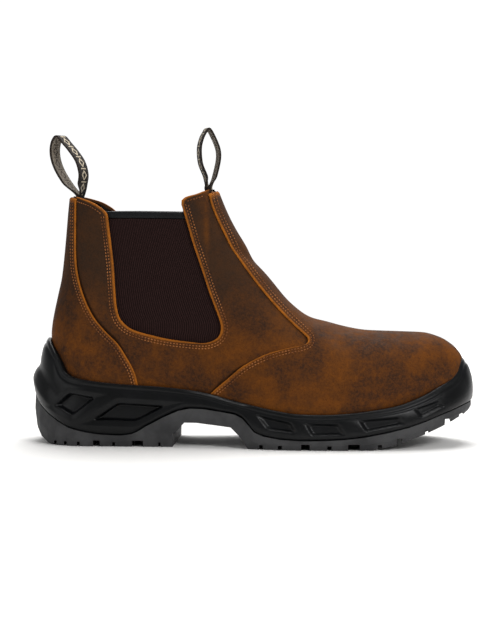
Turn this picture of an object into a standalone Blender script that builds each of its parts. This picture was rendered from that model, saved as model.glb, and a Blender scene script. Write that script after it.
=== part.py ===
"""Side gore work boot for the right foot, standing on its sole.

The toe points along +X, the outer (lateral) side of the boot faces -Y and +Z is up.
The origin lies on the floor under the middle of the boot. Sizes are in millimetres.
"""

import math

import bmesh
import bpy
import numpy as np

# Overall sizes
SOLE_LENGTH = 306.0  # heel bulge to toe bumper
SOLE_WIDTH = 110.0  # across the ball
COLLAR_HEIGHT = 177.0  # floor to the top of the collar's front
HEEL_RIM_HEIGHT = 71.0  # floor to the top of the rubber counter

# Leather
LEATHER = 2.0  # the quarters' wall
OVERLAP_STEP = 1.4  # how far the vamp and the counter stand above the quarters
SIDE_UNDERCUT = 3.5

# Elastic gores
GORE_THICKNESS = 1.8
GORE_LAP = 7.0  # how far a gore runs on behind the leather
BINDING_HEIGHT = 4.8
BINDING_THICKNESS = 2.6

# Sole
SOLE_MARGIN = 5.0  # how far the sole stands out beyond the upper's widest line
SEAT_HEIGHT = 30.0  # floor to the seat that the heel stands on
BALL_HEIGHT = 15.5
TOE_SEAT_HEIGHT = 33.0
TOE_SPRING = 24.0  # how far the tread lifts at the tip
SPRING_LENGTH = 0.2288 * SOLE_LENGTH
HEEL_BEVEL = 14.0
BEVEL_LENGTH = 0.0654 * SOLE_LENGTH
ARCH_HEIGHT = 16.8
BREAST_FROM_HEEL = 0.3284 * SOLE_LENGTH  # heel back to the heel's front face
ARCH_LENGTH = 0.1699 * SOLE_LENGTH
TREAD_DEPTH = 4.2
WIDE_GROOVE = 9.0
LUG_LENGTH = 15.0  # how far the narrow side grooves run in
CHANNEL_WIDTH = 6.0  # the groove along the middle of heel and forefoot
CUT_BELOW = 10.0  # how far the grooves' cutters start below the tread
RECESS_DEPTH = 3.0

# Insole
INSOLE_THICKNESS = 4.0

# Pull loops
LOOP_WIDTH = 16.0
LOOP_THICKNESS = 1.3
LOOP_HEIGHT = 41.0
LOOP_TAIL = 13.0  # how far the webbing runs down inside the collar
LOOP_CUP = 2.2  # how far the webbing's edges bend forward or back to lie in the round of the collar
REAR_TWIST = 20.0  # degrees
FRONT_TWIST = -14.0

GAP = 0.3  # between neighbours
MM = 0.001
HALF_LENGTH = SOLE_LENGTH / 2
HALF_WIDTH = SOLE_WIDTH / 2
RING_HALF = 19  # mesh steps along one side of a ring

# Plan of the sole before its ends are rounded, in shares of the length and of half the width.
PLAN = np.array(
    [
        # along, lateral, medial, centre line
        (0.00, 0.75, 0.74, 0.000),
        (0.10, 0.76, 0.74, 0.000),
        (0.22, 0.75, 0.70, 0.000),
        (0.34, 0.75, 0.63, 0.000),
        (0.44, 0.81, 0.67, 0.000),
        (0.54, 0.94, 0.82, 0.000),
        (0.62, 1.00, 0.93, 0.003),
        (0.70, 1.00, 0.96, 0.014),
        (0.78, 0.98, 0.95, 0.026),
        (0.90, 0.95, 0.95, 0.045),
        (1.00, 0.93, 0.94, 0.055),
    ]
)
HEEL_ROUND = 0.135  # share of the length that the rounded heel end takes
TOE_ROUND = 0.30
TOE_POWER = 2.7

# Top edge of the rubber by the angle round the outline, heel 0 and toe 180, in shares of HEEL_RIM_HEIGHT.
RIM = np.array(
    [
        # angle, height
        (0, 1.000),
        (8, 0.985),
        (15, 0.925),
        (22, 0.822),
        (27, 0.702),
        (32, 0.654),
        (39, 0.628),
        (52, 0.592),
        (64, 0.572),
        (72, 0.548),
        (79, 0.510),
        (85, 0.454),
        (91, 0.407),
        (97, 0.364),
        (103, 0.336),
        (110, 0.331),
        (117, 0.343),
        (125, 0.371),
        (133, 0.410),
        (142, 0.482),
        (151, 0.569),
        (161, 0.647),
        (166, 0.700),
        (171, 0.780),
        (176, 0.822),
        (180, 0.826),
    ]
)

# Line where the black midsole meets the grey outsole, in shares of the length and of HEEL_RIM_HEIGHT.
SPLIT = np.array(
    [
        # along, height
        (0.000, 0.500),
        (0.008, 0.440),
        (0.020, 0.370),
        (0.040, 0.300),
        (0.062, 0.241),
        (0.090, 0.178),
        (0.126, 0.138),
        (0.168, 0.113),
        (0.213, 0.107),
        (0.236, 0.122),
        (0.267, 0.195),
        (0.306, 0.284),
        (0.341, 0.350),
        (0.366, 0.372),
        (0.395, 0.370),
        (0.434, 0.348),
        (0.468, 0.325),
        (0.484, 0.293),
        (0.498, 0.230),
        (0.511, 0.164),
        (0.531, 0.127),
        (0.570, 0.099),
        (0.618, 0.090),
        (0.666, 0.093),
        (0.714, 0.104),
        (0.762, 0.128),
        (0.810, 0.166),
        (0.854, 0.209),
        (0.893, 0.262),
        (0.928, 0.317),
        (0.958, 0.360),
        (0.985, 0.398),
        (1.000, 0.412),
    ]
)

# Side wall of the midsole from its foot to its rim, and the shares of the rubber's edge by which it draws in.
RUBBER_EDGE = 8.5
FLOOR_EDGE = 9.0  # how far in from the outline the midsole's foot reaches its full depth
SEAT_FLOOR = 4.5  # midsole left under the seat
MIDSOLE_WALL = np.array(
    [
        # up, heel, sides, toe
        (0.00, 0.22, 0.14, 0.16),
        (0.08, 0.10, 0.04, 0.04),
        (0.24, 0.00, 0.00, 0.00),
        (0.38, 0.20, 0.02, 0.02),
        (0.50, 0.56, 0.05, 0.07),
        (0.68, 0.68, 0.12, 0.22),
        (0.84, 0.84, 0.22, 0.44),
        (1.00, 1.26, 0.42, 0.92),
    ]
)
OUTSOLE_DRAW = 0.16  # share of the rubber's edge by which the tread's edge draws in

# Back of the boot, in shares of COLLAR_HEIGHT and of SOLE_LENGTH.
BACK_LINE = np.array(
    [
        # height, along
        (0.170, 0.0620),
        (0.230, 0.0520),
        (0.300, 0.0460),
        (0.360, 0.0430),
        (0.420, 0.0420),
        (0.460, 0.0440),
        (0.500, 0.0480),
        (0.570, 0.0567),
        (0.641, 0.0655),
        (0.724, 0.0712),
        (0.806, 0.0757),
        (0.889, 0.0798),
        (0.971, 0.0845),
        (1.115, 0.0906),
    ]
)

# Front of the boot from the toe's foot up to the collar and on above it, in the same shares.
FRONT_LINE = np.array(
    [
        # along, height
        (0.9640, 0.186),
        (0.9735, 0.225),
        (0.9785, 0.262),
        (0.9789, 0.293),
        (0.9750, 0.332),
        (0.9637, 0.364),
        (0.9480, 0.389),
        (0.9230, 0.414),
        (0.8840, 0.432),
        (0.8240, 0.436),
        (0.7600, 0.440),
        (0.7000, 0.458),
        (0.6440, 0.493),
        (0.5900, 0.549),
        (0.5380, 0.642),
        (0.4900, 0.755),
        (0.4520, 0.862),
        (0.4180, 1.001),
        (0.4000, 1.104),
    ]
)
CROWN_FROM = 3  # the row of FRONT_LINE from which the front counts as the crown of the foot
BACK_RISE = (0.175, 0.215, 0.255, 0.292, 0.325, 0.357, 0.389, 0.421, 0.453, 0.487,
             0.527, 0.572, 0.623, 0.680, 0.745, 0.815, 0.888, 0.975, 1.080)
BACK_ROUND = np.array([(0.17, 0.125), (0.45, 0.135), (0.70, 0.150), (1.10, 0.160)])
SHAFT_TAPER = np.array(
    [(0.17, 1.00), (0.33, 1.00), (0.49, 0.96), (0.63, 0.94), (0.77, 0.97), (0.96, 1.04), (1.10, 1.07)]
)
CROWN_POWER = np.array([(0.00, 2.6), (0.40, 2.6), (0.52, 2.25), (0.66, 2.35), (0.80, 2.9), (1.00, 3.2)])
SHAFT_END = (0.42, 0.70)  # shares of the length between which the taper fades out

# Lines on the side of the upper, in shares of SOLE_LENGTH and COLLAR_HEIGHT.
VAMP_SEAM = ((0.3883, 1.103), (0.4010, 1.001), (0.4140, 0.915), (0.4431, 0.807), (0.4811, 0.700),
             (0.5276, 0.595), (0.5737, 0.507), (0.6144, 0.442), (0.6274, 0.420), (0.6220, 0.401),
             (0.5796, 0.385), (0.5330, 0.361), (0.4869, 0.318), (0.4501, 0.264), (0.4130, 0.207),
             (0.3728, 0.125))
COUNTER_SEAM = ((0.1104, 1.112), (0.1056, 1.001), (0.1047, 0.859), (0.1062, 0.717), (0.1142, 0.638),
                (0.1306, 0.562), (0.1515, 0.497), (0.1777, 0.444), (0.2057, 0.396), (0.2276, 0.338),
                (0.2436, 0.285), (0.2515, 0.230), (0.2629, 0.127))
GORE_LINE = ((0.1804, 0.887), (0.1866, 0.807), (0.1940, 0.706), (0.1986, 0.607), (0.2037, 0.526),
             (0.2141, 0.482), (0.2374, 0.451), (0.2774, 0.430), (0.3241, 0.414), (0.3828, 0.404),
             (0.4093, 0.407), (0.4289, 0.426), (0.4349, 0.460), (0.4283, 0.502), (0.4093, 0.587),
             (0.3905, 0.683), (0.3715, 0.780), (0.3555, 0.876), (0.3469, 0.927))
COLLAR_BACK = ((0.0444, 0.976), (0.0936, 0.963), (0.1160, 0.954), (0.1433, 0.938), (0.1654, 0.916),
               (0.1761, 0.900))
COLLAR_FRONT = ((0.3476, 0.946), (0.3582, 0.962), (0.3817, 0.975), (0.4012, 0.989), (0.4187, 1.000),
                (0.4547, 1.012))
GORE_TOP = 0.901  # share of COLLAR_HEIGHT

# Recesses in the midsole's sides, in shares of SOLE_LENGTH and HEEL_RIM_HEIGHT.
RECESSES = (
    ((0.0721, 0.387), (0.1068, 0.494), (0.1518, 0.442), (0.1007, 0.319)),
    ((0.1675, 0.272), (0.2131, 0.411), (0.2872, 0.382), (0.2202, 0.263)),
    ((0.5200, 0.322), (0.5428, 0.200), (0.6006, 0.175), (0.5923, 0.255)),
    ((0.6278, 0.252), (0.6408, 0.149), (0.7079, 0.157), (0.6977, 0.244)),
    ((0.7448, 0.283), (0.7598, 0.187), (0.8391, 0.253), (0.8325, 0.309)),
    ((0.8667, 0.383), (0.8801, 0.314), (0.9278, 0.403), (0.9220, 0.456)),
)

# Grooves in from the tread's sides: place along the sole, and width as a share of WIDE_GROOVE.
GROOVES = (
    (0.0647, 0.26), (0.0889, 0.26), (0.1190, 0.26), (0.1595, 0.60), (0.1980, 0.24), (0.2510, 1.00),
    (0.3000, 0.20), (0.5270, 0.32), (0.5690, 0.36), (0.6250, 0.76), (0.6775, 0.38), (0.7310, 1.00),
    (0.7880, 0.36), (0.8310, 0.48), (0.8915, 0.28), (0.9386, 0.50), (0.9700, 0.34),
)
WIDE_FROM = 0.45  # grooves at least this share of WIDE_GROOVE wide run in to the middle channel
CHANNELS = ((0.060, 0.305), (0.520, 0.850))  # where the middle channels start and end along the sole

# Middle line of each pull loop's webbing above the collar, in shares of LOOP_HEIGHT: forward, up.
REAR_LOOP = ((-0.020, 0.000), (-0.190, 0.200), (-0.317, 0.393), (-0.388, 0.568), (-0.407, 0.727),
             (-0.378, 0.866), (-0.305, 0.945), (-0.195, 0.834), (-0.071, 0.695), (0.041, 0.534),
             (0.095, 0.341), (0.076, 0.180), (0.035, 0.030))
FRONT_LOOP = ((0.024, 0.049), (0.066, 0.178), (0.130, 0.459), (0.122, 0.639), (0.040, 0.840),
              (-0.040, 0.960), (-0.100, 0.890), (-0.150, 0.780), (-0.178, 0.627), (-0.158, 0.405),
              (-0.080, 0.207), (-0.030, 0.030))


def smooth(table_x, table_y, x):
    """Reads a smooth curve through table rows at x, with no overshoot between rows and straight ends."""
    xs = np.asarray(table_x, float)
    ys = np.asarray(table_y, float)
    x = np.asarray(x, float)
    h = np.diff(xs)
    d = np.diff(ys) / h
    m = np.empty_like(ys)
    m[0] = d[0]
    m[-1] = d[-1]
    product = d[:-1] * d[1:]
    w1 = 2 * h[1:] + h[:-1]
    w2 = h[1:] + 2 * h[:-1]
    safe = np.where(product > 0, product, 1.0)
    mean = (w1 + w2) * safe / (w1 * d[1:] + w2 * d[:-1] + np.where(product > 0, 0.0, 1e9))
    m[1:-1] = np.where(product > 0, mean, 0.0)
    i = np.clip(np.searchsorted(xs, x) - 1, 0, len(h) - 1)
    t = (x - xs[i]) / h[i]
    inside = np.clip(t, 0, 1)
    a = inside * inside * (3 - 2 * inside)
    b = inside * (1 - inside) ** 2
    c = inside * inside * (inside - 1)
    value = ys[i] * (1 - a) + ys[i + 1] * a + h[i] * (b * m[i] + c * m[i + 1])
    below = np.minimum(t, 0) * h[i] * m[0]
    above = np.maximum(t - 1, 0) * h[i] * m[-1]
    return value + below + above


def curve_through(points, steps=4):
    """Samples a smooth curve through points in the plane, steps to a span."""
    p = np.asarray(points, float)
    ends = np.vstack([2 * p[0] - p[1], p, 2 * p[-1] - p[-2]])
    out = []
    for i in range(1, len(ends) - 2):
        a, b, c, d = ends[i - 1 : i + 3]
        for k in range(steps):
            t = k / steps
            out.append(
                0.5
                * (2 * b + (c - a) * t + (2 * a - 5 * b + 4 * c - d) * t**2 + (3 * b - a - 3 * c + d) * t**3)
            )
    out.append(p[-1])
    return np.array(out)


def along(share):
    """X of a share of the sole's length, counted from the heel."""
    return np.asarray(share) * SOLE_LENGTH - HALF_LENGTH


def share_of(x):
    return (np.asarray(x) + HALF_LENGTH) / SOLE_LENGTH


def plan_half(share, side):
    """Half the sole's width before its ends are rounded; side 1 is lateral and 2 is medial."""
    return smooth(PLAN[:, 0], PLAN[:, side], share) * HALF_WIDTH


def centre_line(share):
    return smooth(PLAN[:, 0], PLAN[:, 3], share) * SOLE_WIDTH


def heel_rounding(share):
    return np.sqrt(np.clip(1 - np.clip(1 - share / HEEL_ROUND, 0, 1) ** 2.1, 0, 1))


def toe_rounding(share, tip=1.0):
    reach = np.clip((share - (tip - TOE_ROUND)) / TOE_ROUND, 0, 1)
    return np.sqrt(np.clip(1 - reach**TOE_POWER, 0, 1))


def seat_height(x):
    """Height of the seat under the upper: raised at the heel, low at the ball, lifted at the toe."""
    rows = np.array(
        [
            (0.00, SEAT_HEIGHT + 1.0),
            (0.12, SEAT_HEIGHT),
            (0.30, SEAT_HEIGHT - 1.5),
            (0.42, SEAT_HEIGHT - 0.42 * (SEAT_HEIGHT - BALL_HEIGHT)),
            (0.54, BALL_HEIGHT + 1.5),
            (0.68, BALL_HEIGHT),
            (0.82, BALL_HEIGHT + 0.22 * (TOE_SEAT_HEIGHT - BALL_HEIGHT)),
            (0.90, BALL_HEIGHT + 0.59 * (TOE_SEAT_HEIGHT - BALL_HEIGHT)),
            (0.96, TOE_SEAT_HEIGHT),
            (1.00, TOE_SEAT_HEIGHT + 2.0),
        ]
    )
    return smooth(rows[:, 0], rows[:, 1], share_of(x))


def back_x(z):
    return along(smooth(BACK_LINE[:, 0], BACK_LINE[:, 1], z / COLLAR_HEIGHT))


def crown_height(x):
    """Top of the foot and front of the shaft over x; it runs on straight above the collar."""
    rows = FRONT_LINE[CROWN_FROM:][::-1]
    return smooth(rows[:, 0], rows[:, 1], share_of(x)) * COLLAR_HEIGHT


def half_width(x, z, side):
    """Half the upper's width at a point of the side view."""
    share = share_of(x)
    seat = seat_height(x)
    rise = np.clip((z - seat) / (crown_height(x) - seat), 0, 1)
    crown = np.sqrt(np.clip(1 - rise ** smooth(CROWN_POWER[:, 0], CROWN_POWER[:, 1], share), 0, 1))
    reach = smooth(BACK_ROUND[:, 0], BACK_ROUND[:, 1], z / COLLAR_HEIGHT) * SOLE_LENGTH
    back = np.sqrt(np.clip(1 - np.clip(1 - (x - back_x(z)) / reach, 0, 1) ** 2.1, 0, 1))
    tuck = np.clip(1 - (z - seat) / 18.0, 0, 1) ** 2
    rows = FRONT_LINE[: CROWN_FROM + 1]
    tip = smooth(rows[:, 1], rows[:, 0], np.minimum(z / COLLAR_HEIGHT, rows[-1, 1])) + 0.0005
    fade = np.clip((share - SHAFT_END[0]) / (SHAFT_END[1] - SHAFT_END[0]), 0, 1)
    fade = 1 - fade * fade * (3 - 2 * fade)
    taper = 1 + (smooth(SHAFT_TAPER[:, 0], SHAFT_TAPER[:, 1], z / COLLAR_HEIGHT) - 1) * fade
    widest = (plan_half(share, side) - SOLE_MARGIN) * taper - SIDE_UNDERCUT * tuck
    return widest * crown * back * toe_rounding(share, tip)


def upper_rings():
    """Rings round the upper from its lower edge to above the collar, each a tilted loop, as an array."""
    angle = np.linspace(0, math.pi, RING_HALF + 1)
    step = (1 - np.cos(angle)) / 2
    heel_x = back_x(BACK_RISE[0] * COLLAR_HEIGHT)
    lower_x = heel_x + step * (along(FRONT_LINE[0, 0]) - heel_x)
    lower = seat_height(lower_x)
    dip = lower[0] + (lower[-1] - lower[0]) * step - lower
    rings = []
    last = len(BACK_RISE) - 1
    for j, rise in enumerate(BACK_RISE):
        back_z = rise * COLLAR_HEIGHT if j else lower[0]
        front_x = along(FRONT_LINE[j, 0])
        front_z = FRONT_LINE[j, 1] * COLLAR_HEIGHT if j else lower[-1]
        rear_x = float(back_x(rise * COLLAR_HEIGHT))
        x = rear_x + step * (front_x - rear_x)
        fall = min(1.0, 1.35 * (1 - j / last))
        z = back_z + (front_z - back_z) * step - dip * fall
        lateral = np.column_stack([x, -half_width(x, z, 1), z])
        medial = np.column_stack([x, half_width(x, z, 2), z])
        lateral[[0, -1], 1] = 0.0
        loop = np.vstack([lateral, medial[-2:0:-1]])
        loop[:, 1] += centre_line(share_of(loop[:, 0]))
        rings.append(loop)
    return np.array(rings)


def ring_normals(rings):
    """Outward directions at the points of a stack of rings."""
    round_about = np.roll(rings, -1, axis=1) - np.roll(rings, 1, axis=1)
    upward = np.gradient(rings, axis=0)
    n = np.cross(round_about, upward)
    return n / np.linalg.norm(n, axis=2, keepdims=True)


UPPER_RINGS = upper_rings()
UPPER_NORMALS = ring_normals(UPPER_RINGS)


def skin_faces(rings, count):
    """Faces of a closed form: bands between rings, and strips across the first and the last ring."""
    half = count // 2
    faces = []
    for j in range(rings - 1):
        for i in range(count):
            k = (i + 1) % count
            faces.append((j * count + i, j * count + k, (j + 1) * count + k, (j + 1) * count + i))
    for base in (0, (rings - 1) * count):
        faces.append((base, base + 1, base + count - 1))
        for i in range(1, half - 1):
            faces.append((base + i, base + i + 1, base + count - i - 1, base + count - i))
        faces.append((base + half - 1, base + half, base + half + 1))
    return faces


def solid(name, points, faces, split="FIXED"):
    """Makes an object from points in millimetres, with its faces turned outwards and its quads split."""
    mesh = bpy.data.meshes.new(name)
    mesh.from_pydata([tuple(p) for p in np.asarray(points) * MM], [], faces)
    bm = bmesh.new()
    bm.from_mesh(mesh)
    bmesh.ops.recalc_face_normals(bm, faces=bm.faces)
    bmesh.ops.triangulate(bm, faces=[f for f in bm.faces if len(f.verts) == 4], quad_method=split)
    bm.to_mesh(mesh)
    bm.free()
    obj = bpy.data.objects.new(name, mesh)
    bpy.context.scene.collection.objects.link(obj)
    return obj


def stacked(name, rings, split="FIXED"):
    rings = np.asarray(rings)
    return solid(name, rings.reshape(-1, 3), skin_faces(len(rings), rings.shape[1]), split)


def prism(name, outline, y_from, y_to):
    """A side view outline carried across the boot."""
    n = len(outline)
    near = [(x, y_from, z) for x, z in outline]
    far = [(x, y_to, z) for x, z in outline]
    faces = [tuple(range(n)), tuple(range(2 * n - 1, n - 1, -1))]
    faces += [(i, (i + 1) % n, n + (i + 1) % n, n + i) for i in range(n)]
    return solid(name, near + far, faces)


def combine(obj, other, operation):
    """Cuts, joins or intersects obj with other, which is used up."""
    modifier = obj.modifiers.new(operation.title(), "BOOLEAN")
    modifier.operation = operation
    modifier.object = other
    bpy.context.view_layer.update()
    graph = bpy.context.evaluated_depsgraph_get()
    mesh = bpy.data.meshes.new_from_object(obj.evaluated_get(graph))
    obj.modifiers.clear()
    obj.data = mesh
    bpy.data.objects.remove(other)
    return obj


def last_form(name, offset, drop=0.0):
    """The closed form of the boot's inside or outside, a distance out from the overlays' face."""
    rings = UPPER_RINGS + UPPER_NORMALS * offset
    rings[0, :, 2] = UPPER_RINGS[0, :, 2]
    if drop:
        lowest = rings[0] - np.array([0, 0, drop])
        rings = np.vstack([lowest[None], rings])
    return stacked(name, rings)


def side_curve(points, steps=2):
    """A line of the side view in millimetres, from shares of the length and of the collar's height."""
    p = curve_through(points, steps)
    return np.column_stack([along(p[:, 0]), p[:, 1] * COLLAR_HEIGHT])


def shifted(line, distance):
    """Moves a line of the side view sideways, to its left as it runs."""
    d = np.gradient(line, axis=0)
    d /= np.linalg.norm(d, axis=1)[:, None]
    return line + distance * np.column_stack([-d[:, 1], d[:, 0]])


def vamp_region(name, growth=0.0):
    """Everything in front of the vamp's seam."""
    line = shifted(side_curve(VAMP_SEAM), -growth)
    far = SOLE_LENGTH
    high = 2 * COLLAR_HEIGHT
    outline = [(line[0, 0], high)] + [tuple(p) for p in line]
    outline += [(line[-1, 0], -high), (far, -high), (far, high)]
    return prism(name, outline, -SOLE_WIDTH, SOLE_WIDTH)


def counter_region(name, growth=0.0):
    """Everything behind the counter's seam."""
    line = shifted(side_curve(COUNTER_SEAM), growth)
    far = -SOLE_LENGTH
    high = 2 * COLLAR_HEIGHT
    outline = [(line[0, 0], high)] + [tuple(p) for p in line]
    outline += [(line[-1, 0], -high), (far, -high), (far, high)]
    return prism(name, outline, -SOLE_WIDTH, SOLE_WIDTH)


def overlay_forms(name, clearance):
    """The outside of the upper: the quarters' form joined with the overlays' form in their two regions."""
    base = last_form(name, clearance - OVERLAP_STEP, drop=clearance)
    for region in (vamp_region("vamp_region", clearance), counter_region("counter_region", clearance)):
        raised = last_form("raised", clearance, drop=clearance)
        combine(raised, region, "INTERSECT")
        combine(base, raised, "UNION")
    return base


def collar_outline():
    """The opening seen from the side: the collar's two peaks with the gore's U between them."""
    back = side_curve(COLLAR_BACK)
    gore = side_curve(GORE_LINE)
    front = side_curve(COLLAR_FRONT)
    high = 2 * COLLAR_HEIGHT
    outline = [(-SOLE_LENGTH, high), (-SOLE_LENGTH, back[0, 1])]
    outline += [tuple(p) for p in np.vstack([back, gore, front])]
    outline += [(SOLE_LENGTH, front[-1, 1]), (SOLE_LENGTH, high)]
    return outline


def make_upper():
    upper = overlay_forms("upper", 0.0)
    opening = prism("opening", collar_outline(), -SOLE_WIDTH, SOLE_WIDTH)
    combine(upper, opening, "DIFFERENCE")
    inner = last_form("inner", -OVERLAP_STEP - LEATHER, drop=2 * SEAT_HEIGHT)
    return combine(upper, inner, "DIFFERENCE")


def gore_outline(bottom_only, top):
    """The gore's own outline: the opening grown by the lap, and cut level at the top."""
    line = shifted(side_curve(GORE_LINE), -GORE_LAP)
    line = line[line[:, 1] < top]
    start = [(line[0, 0], top)]
    end = [(line[-1, 0] - 0.2 * GORE_LAP, top)]
    if bottom_only:
        return start + [tuple(p) for p in line] + end
    return start + end


def make_gore(name, side):
    """One elastic panel, lying behind the leather all round its opening."""
    top = GORE_TOP * COLLAR_HEIGHT - BINDING_HEIGHT - GAP
    outside = -OVERLAP_STEP - LEATHER - 2 * GAP
    gore = last_form(name, outside)
    combine(gore, last_form("inner", outside - GORE_THICKNESS, drop=SEAT_HEIGHT), "DIFFERENCE")
    reach = (0.0, side * SOLE_WIDTH)
    region = prism("region", gore_outline(True, top), min(reach), max(reach))
    return combine(gore, region, "INTERSECT")


def make_binding(name, side):
    """The band that the gore's top edge is bound with."""
    top = GORE_TOP * COLLAR_HEIGHT
    low = top - BINDING_HEIGHT
    gore = side_curve(GORE_LINE)
    rear = np.interp(-low, -gore[:12, 1], gore[:12, 0]) - GORE_LAP
    fore = np.interp(low, gore[-10:, 1], gore[-10:, 0]) + GORE_LAP
    outside = -OVERLAP_STEP - LEATHER - 2 * GAP
    band = last_form(name, outside)
    combine(band, last_form("inner", outside - BINDING_THICKNESS, drop=SEAT_HEIGHT), "DIFFERENCE")
    outline = [(rear, low), (fore, low), (fore, top), (rear, top)]
    reach = (0.0, side * SOLE_WIDTH)
    return combine(band, prism("region", outline, min(reach), max(reach)), "INTERSECT")


def make_insole():
    """A pad on the seat, clear of the upper all round."""
    inset = OVERLAP_STEP + LEATHER + 2 * GAP
    rings = UPPER_RINGS[0] - UPPER_NORMALS[0] * np.array([inset, inset, 0])
    rings[:, 2] = UPPER_RINGS[0, :, 2]
    top = rings + np.array([0, 0, INSOLE_THICKNESS])
    return stacked("insole", [rings, top])


def sole_shares():
    """Stations along the sole: every row of the split line, and more where its ends round off."""
    even = (1 - np.cos(np.linspace(0, math.pi, 25))) / 2
    rows = SPLIT[:, 0]
    keep = [value for value in even if np.abs(rows - value).min() > 0.009 or value in (0.0, 1.0)]
    ends = np.array([0.0015, 0.0045, 0.9920, 0.9970, 0.9990])
    return np.unique(np.round(np.concatenate([keep, rows[1:-1], ends]), 4))


def sole_loop(shares, heights, heel_draw, side_draw, toe_draw):
    """A loop of the sole's outline, drawn in at its heel, sides and toe, at the given heights."""
    x = along(shares) + heel_draw * (1 - shares) ** 3 - toe_draw * shares**3
    rounding = heel_rounding(shares) * toe_rounding(shares)
    out = []
    for side, sign in ((1, -1), (2, 1)):
        y = sign * (plan_half(shares, side) - side_draw) * rounding
        out.append(np.column_stack([x, y + centre_line(shares), heights]))
    return np.vstack([out[0], out[1][-2:0:-1]])


def split_height(shares):
    return smooth(SPLIT[:, 0], SPLIT[:, 1], shares) * HEEL_RIM_HEIGHT


def rim_height(shares):
    angle = np.degrees(np.arccos(1 - 2 * np.clip(shares, 0, 1)))
    return smooth(RIM[:, 0], RIM[:, 1], angle) * HEEL_RIM_HEIGHT


def tread_height(shares):
    """Underside of the lugs: flat at heel and ball, lifted at the toe and at the back of the heel."""
    x = along(shares)
    toe = np.clip((x - (HALF_LENGTH - SPRING_LENGTH)) / SPRING_LENGTH, 0, 1)
    heel = np.clip((BEVEL_LENGTH - (x + HALF_LENGTH)) / BEVEL_LENGTH, 0, 1)
    return TOE_SPRING * toe**1.4 + HEEL_BEVEL * heel**3


def core_height(shares):
    """Where the two parts of the sole meet away from its edge, kept under the seat by a floor."""
    return np.minimum(split_height(shares), seat_height(along(shares)) - SEAT_FLOOR)


def midsole_form(name):
    """The black body of the sole before its recesses and the upper's seat are cut from it."""
    shares = sole_shares()
    foot = split_height(shares) + GAP
    rim = rim_height(shares)
    rings = [sole_loop(shares, core_height(shares) + GAP, FLOOR_EDGE, FLOOR_EDGE, FLOOR_EDGE)]
    for up, heel, sides, toe in MIDSOLE_WALL:
        draws = [draw * RUBBER_EDGE for draw in (heel, sides, toe)]
        rings.append(sole_loop(shares, foot + (rim - foot) * up, *draws))
    return stacked(name, rings, "SHORT_EDGE")


def recess_cutter(outline, sign):
    """Cuts one recess into a side; its floor follows the side from corner to corner."""
    n = len(outline)
    points = []
    for share, height in outline:
        at = np.array(share)
        half = float(plan_half(at, 1 if sign < 0 else 2) * heel_rounding(at) * toe_rounding(at))
        floor = float(centre_line(at)) + sign * (half - RECESS_DEPTH)
        points.append((float(along(at)), floor, height * HEEL_RIM_HEIGHT))
    points += [(x, sign * SOLE_WIDTH, z) for x, _, z in points]
    faces = [tuple(range(n)), tuple(range(2 * n - 1, n - 1, -1))]
    faces += [(i, (i + 1) % n, n + (i + 1) % n, n + i) for i in range(n)]
    return solid("recess", points, faces)


def make_midsole():
    """The black midsole, with its recessed sides and with the upper's seat cut into it."""
    midsole = midsole_form("midsole")
    for outline in RECESSES:
        for sign in (-1, 1):
            combine(midsole, recess_cutter(outline, sign), "DIFFERENCE")
    return combine(midsole, overlay_forms("seat", GAP), "DIFFERENCE")


def make_outsole():
    """The grey outsole with its arch and its grooves."""
    shares = sole_shares()
    top = split_height(shares)
    low = np.minimum(tread_height(shares), top - 2.0)
    draw = OUTSOLE_DRAW * RUBBER_EDGE
    foot = [share * RUBBER_EDGE for share in MIDSOLE_WALL[0, 1:]]
    rings = [
        sole_loop(shares, low, draw + 1.2, draw + 1.2, draw + 1.2),
        sole_loop(shares, low + (top - low) * 0.45, draw, draw, draw),
        sole_loop(shares, top, *foot),
        sole_loop(shares, core_height(shares), FLOOR_EDGE, FLOOR_EDGE, FLOOR_EDGE),
    ]
    outsole = stacked("outsole", rings, "SHORT_EDGE")
    combine(outsole, prism("arch", arch_outline(), -SOLE_WIDTH, SOLE_WIDTH), "DIFFERENCE")
    for start, end in CHANNELS:
        combine(outsole, middle_channel(start, end), "DIFFERENCE")
    for place, width_share in GROOVES:
        for sign in (-1, 1):
            combine(outsole, side_groove(place, width_share, sign), "DIFFERENCE")
    return outsole


def arch_outline():
    """The hollow under the waist: a steep breast behind, a flat roof and a slanting front."""
    breast = -HALF_LENGTH + BREAST_FROM_HEEL
    shares = (
        (0.000, -0.60),
        (0.004, 0.56),
        (0.035, 0.56),
        (0.160, 1.00),
        (0.315, 1.00),
        (0.770, 0.85),
        (0.860, 0.58),
        (0.920, 0.36),
        (0.995, 0.00),
        (1.000, -0.60),
    )
    return [(breast + a * ARCH_LENGTH, b * ARCH_HEIGHT) for a, b in shares]


def side_groove(place, width_share, sign):
    """A slot across the tread's edge, open to the side and below."""
    width = WIDE_GROOVE * width_share
    side = 1 if sign < 0 else 2
    at = np.array(place)
    x = float(along(place))
    edge = float(sign * plan_half(at, side) * heel_rounding(at) * toe_rounding(at) + centre_line(at))
    floor = float(tread_height(at))
    wide = width_share >= WIDE_FROM
    depth = TREAD_DEPTH if wide else 0.75 * TREAD_DEPTH
    inward = float(centre_line(at)) + sign * 0.3 * CHANNEL_WIDTH if wide else edge - sign * LUG_LENGTH
    outline = [
        (x - 0.50 * width, floor - CUT_BELOW),
        (x - 0.42 * width, floor + depth),
        (x + 0.42 * width, floor + depth),
        (x + 0.50 * width, floor - CUT_BELOW),
    ]
    reach = (inward, sign * SOLE_WIDTH)
    return prism("groove", outline, min(reach), max(reach))


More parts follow.
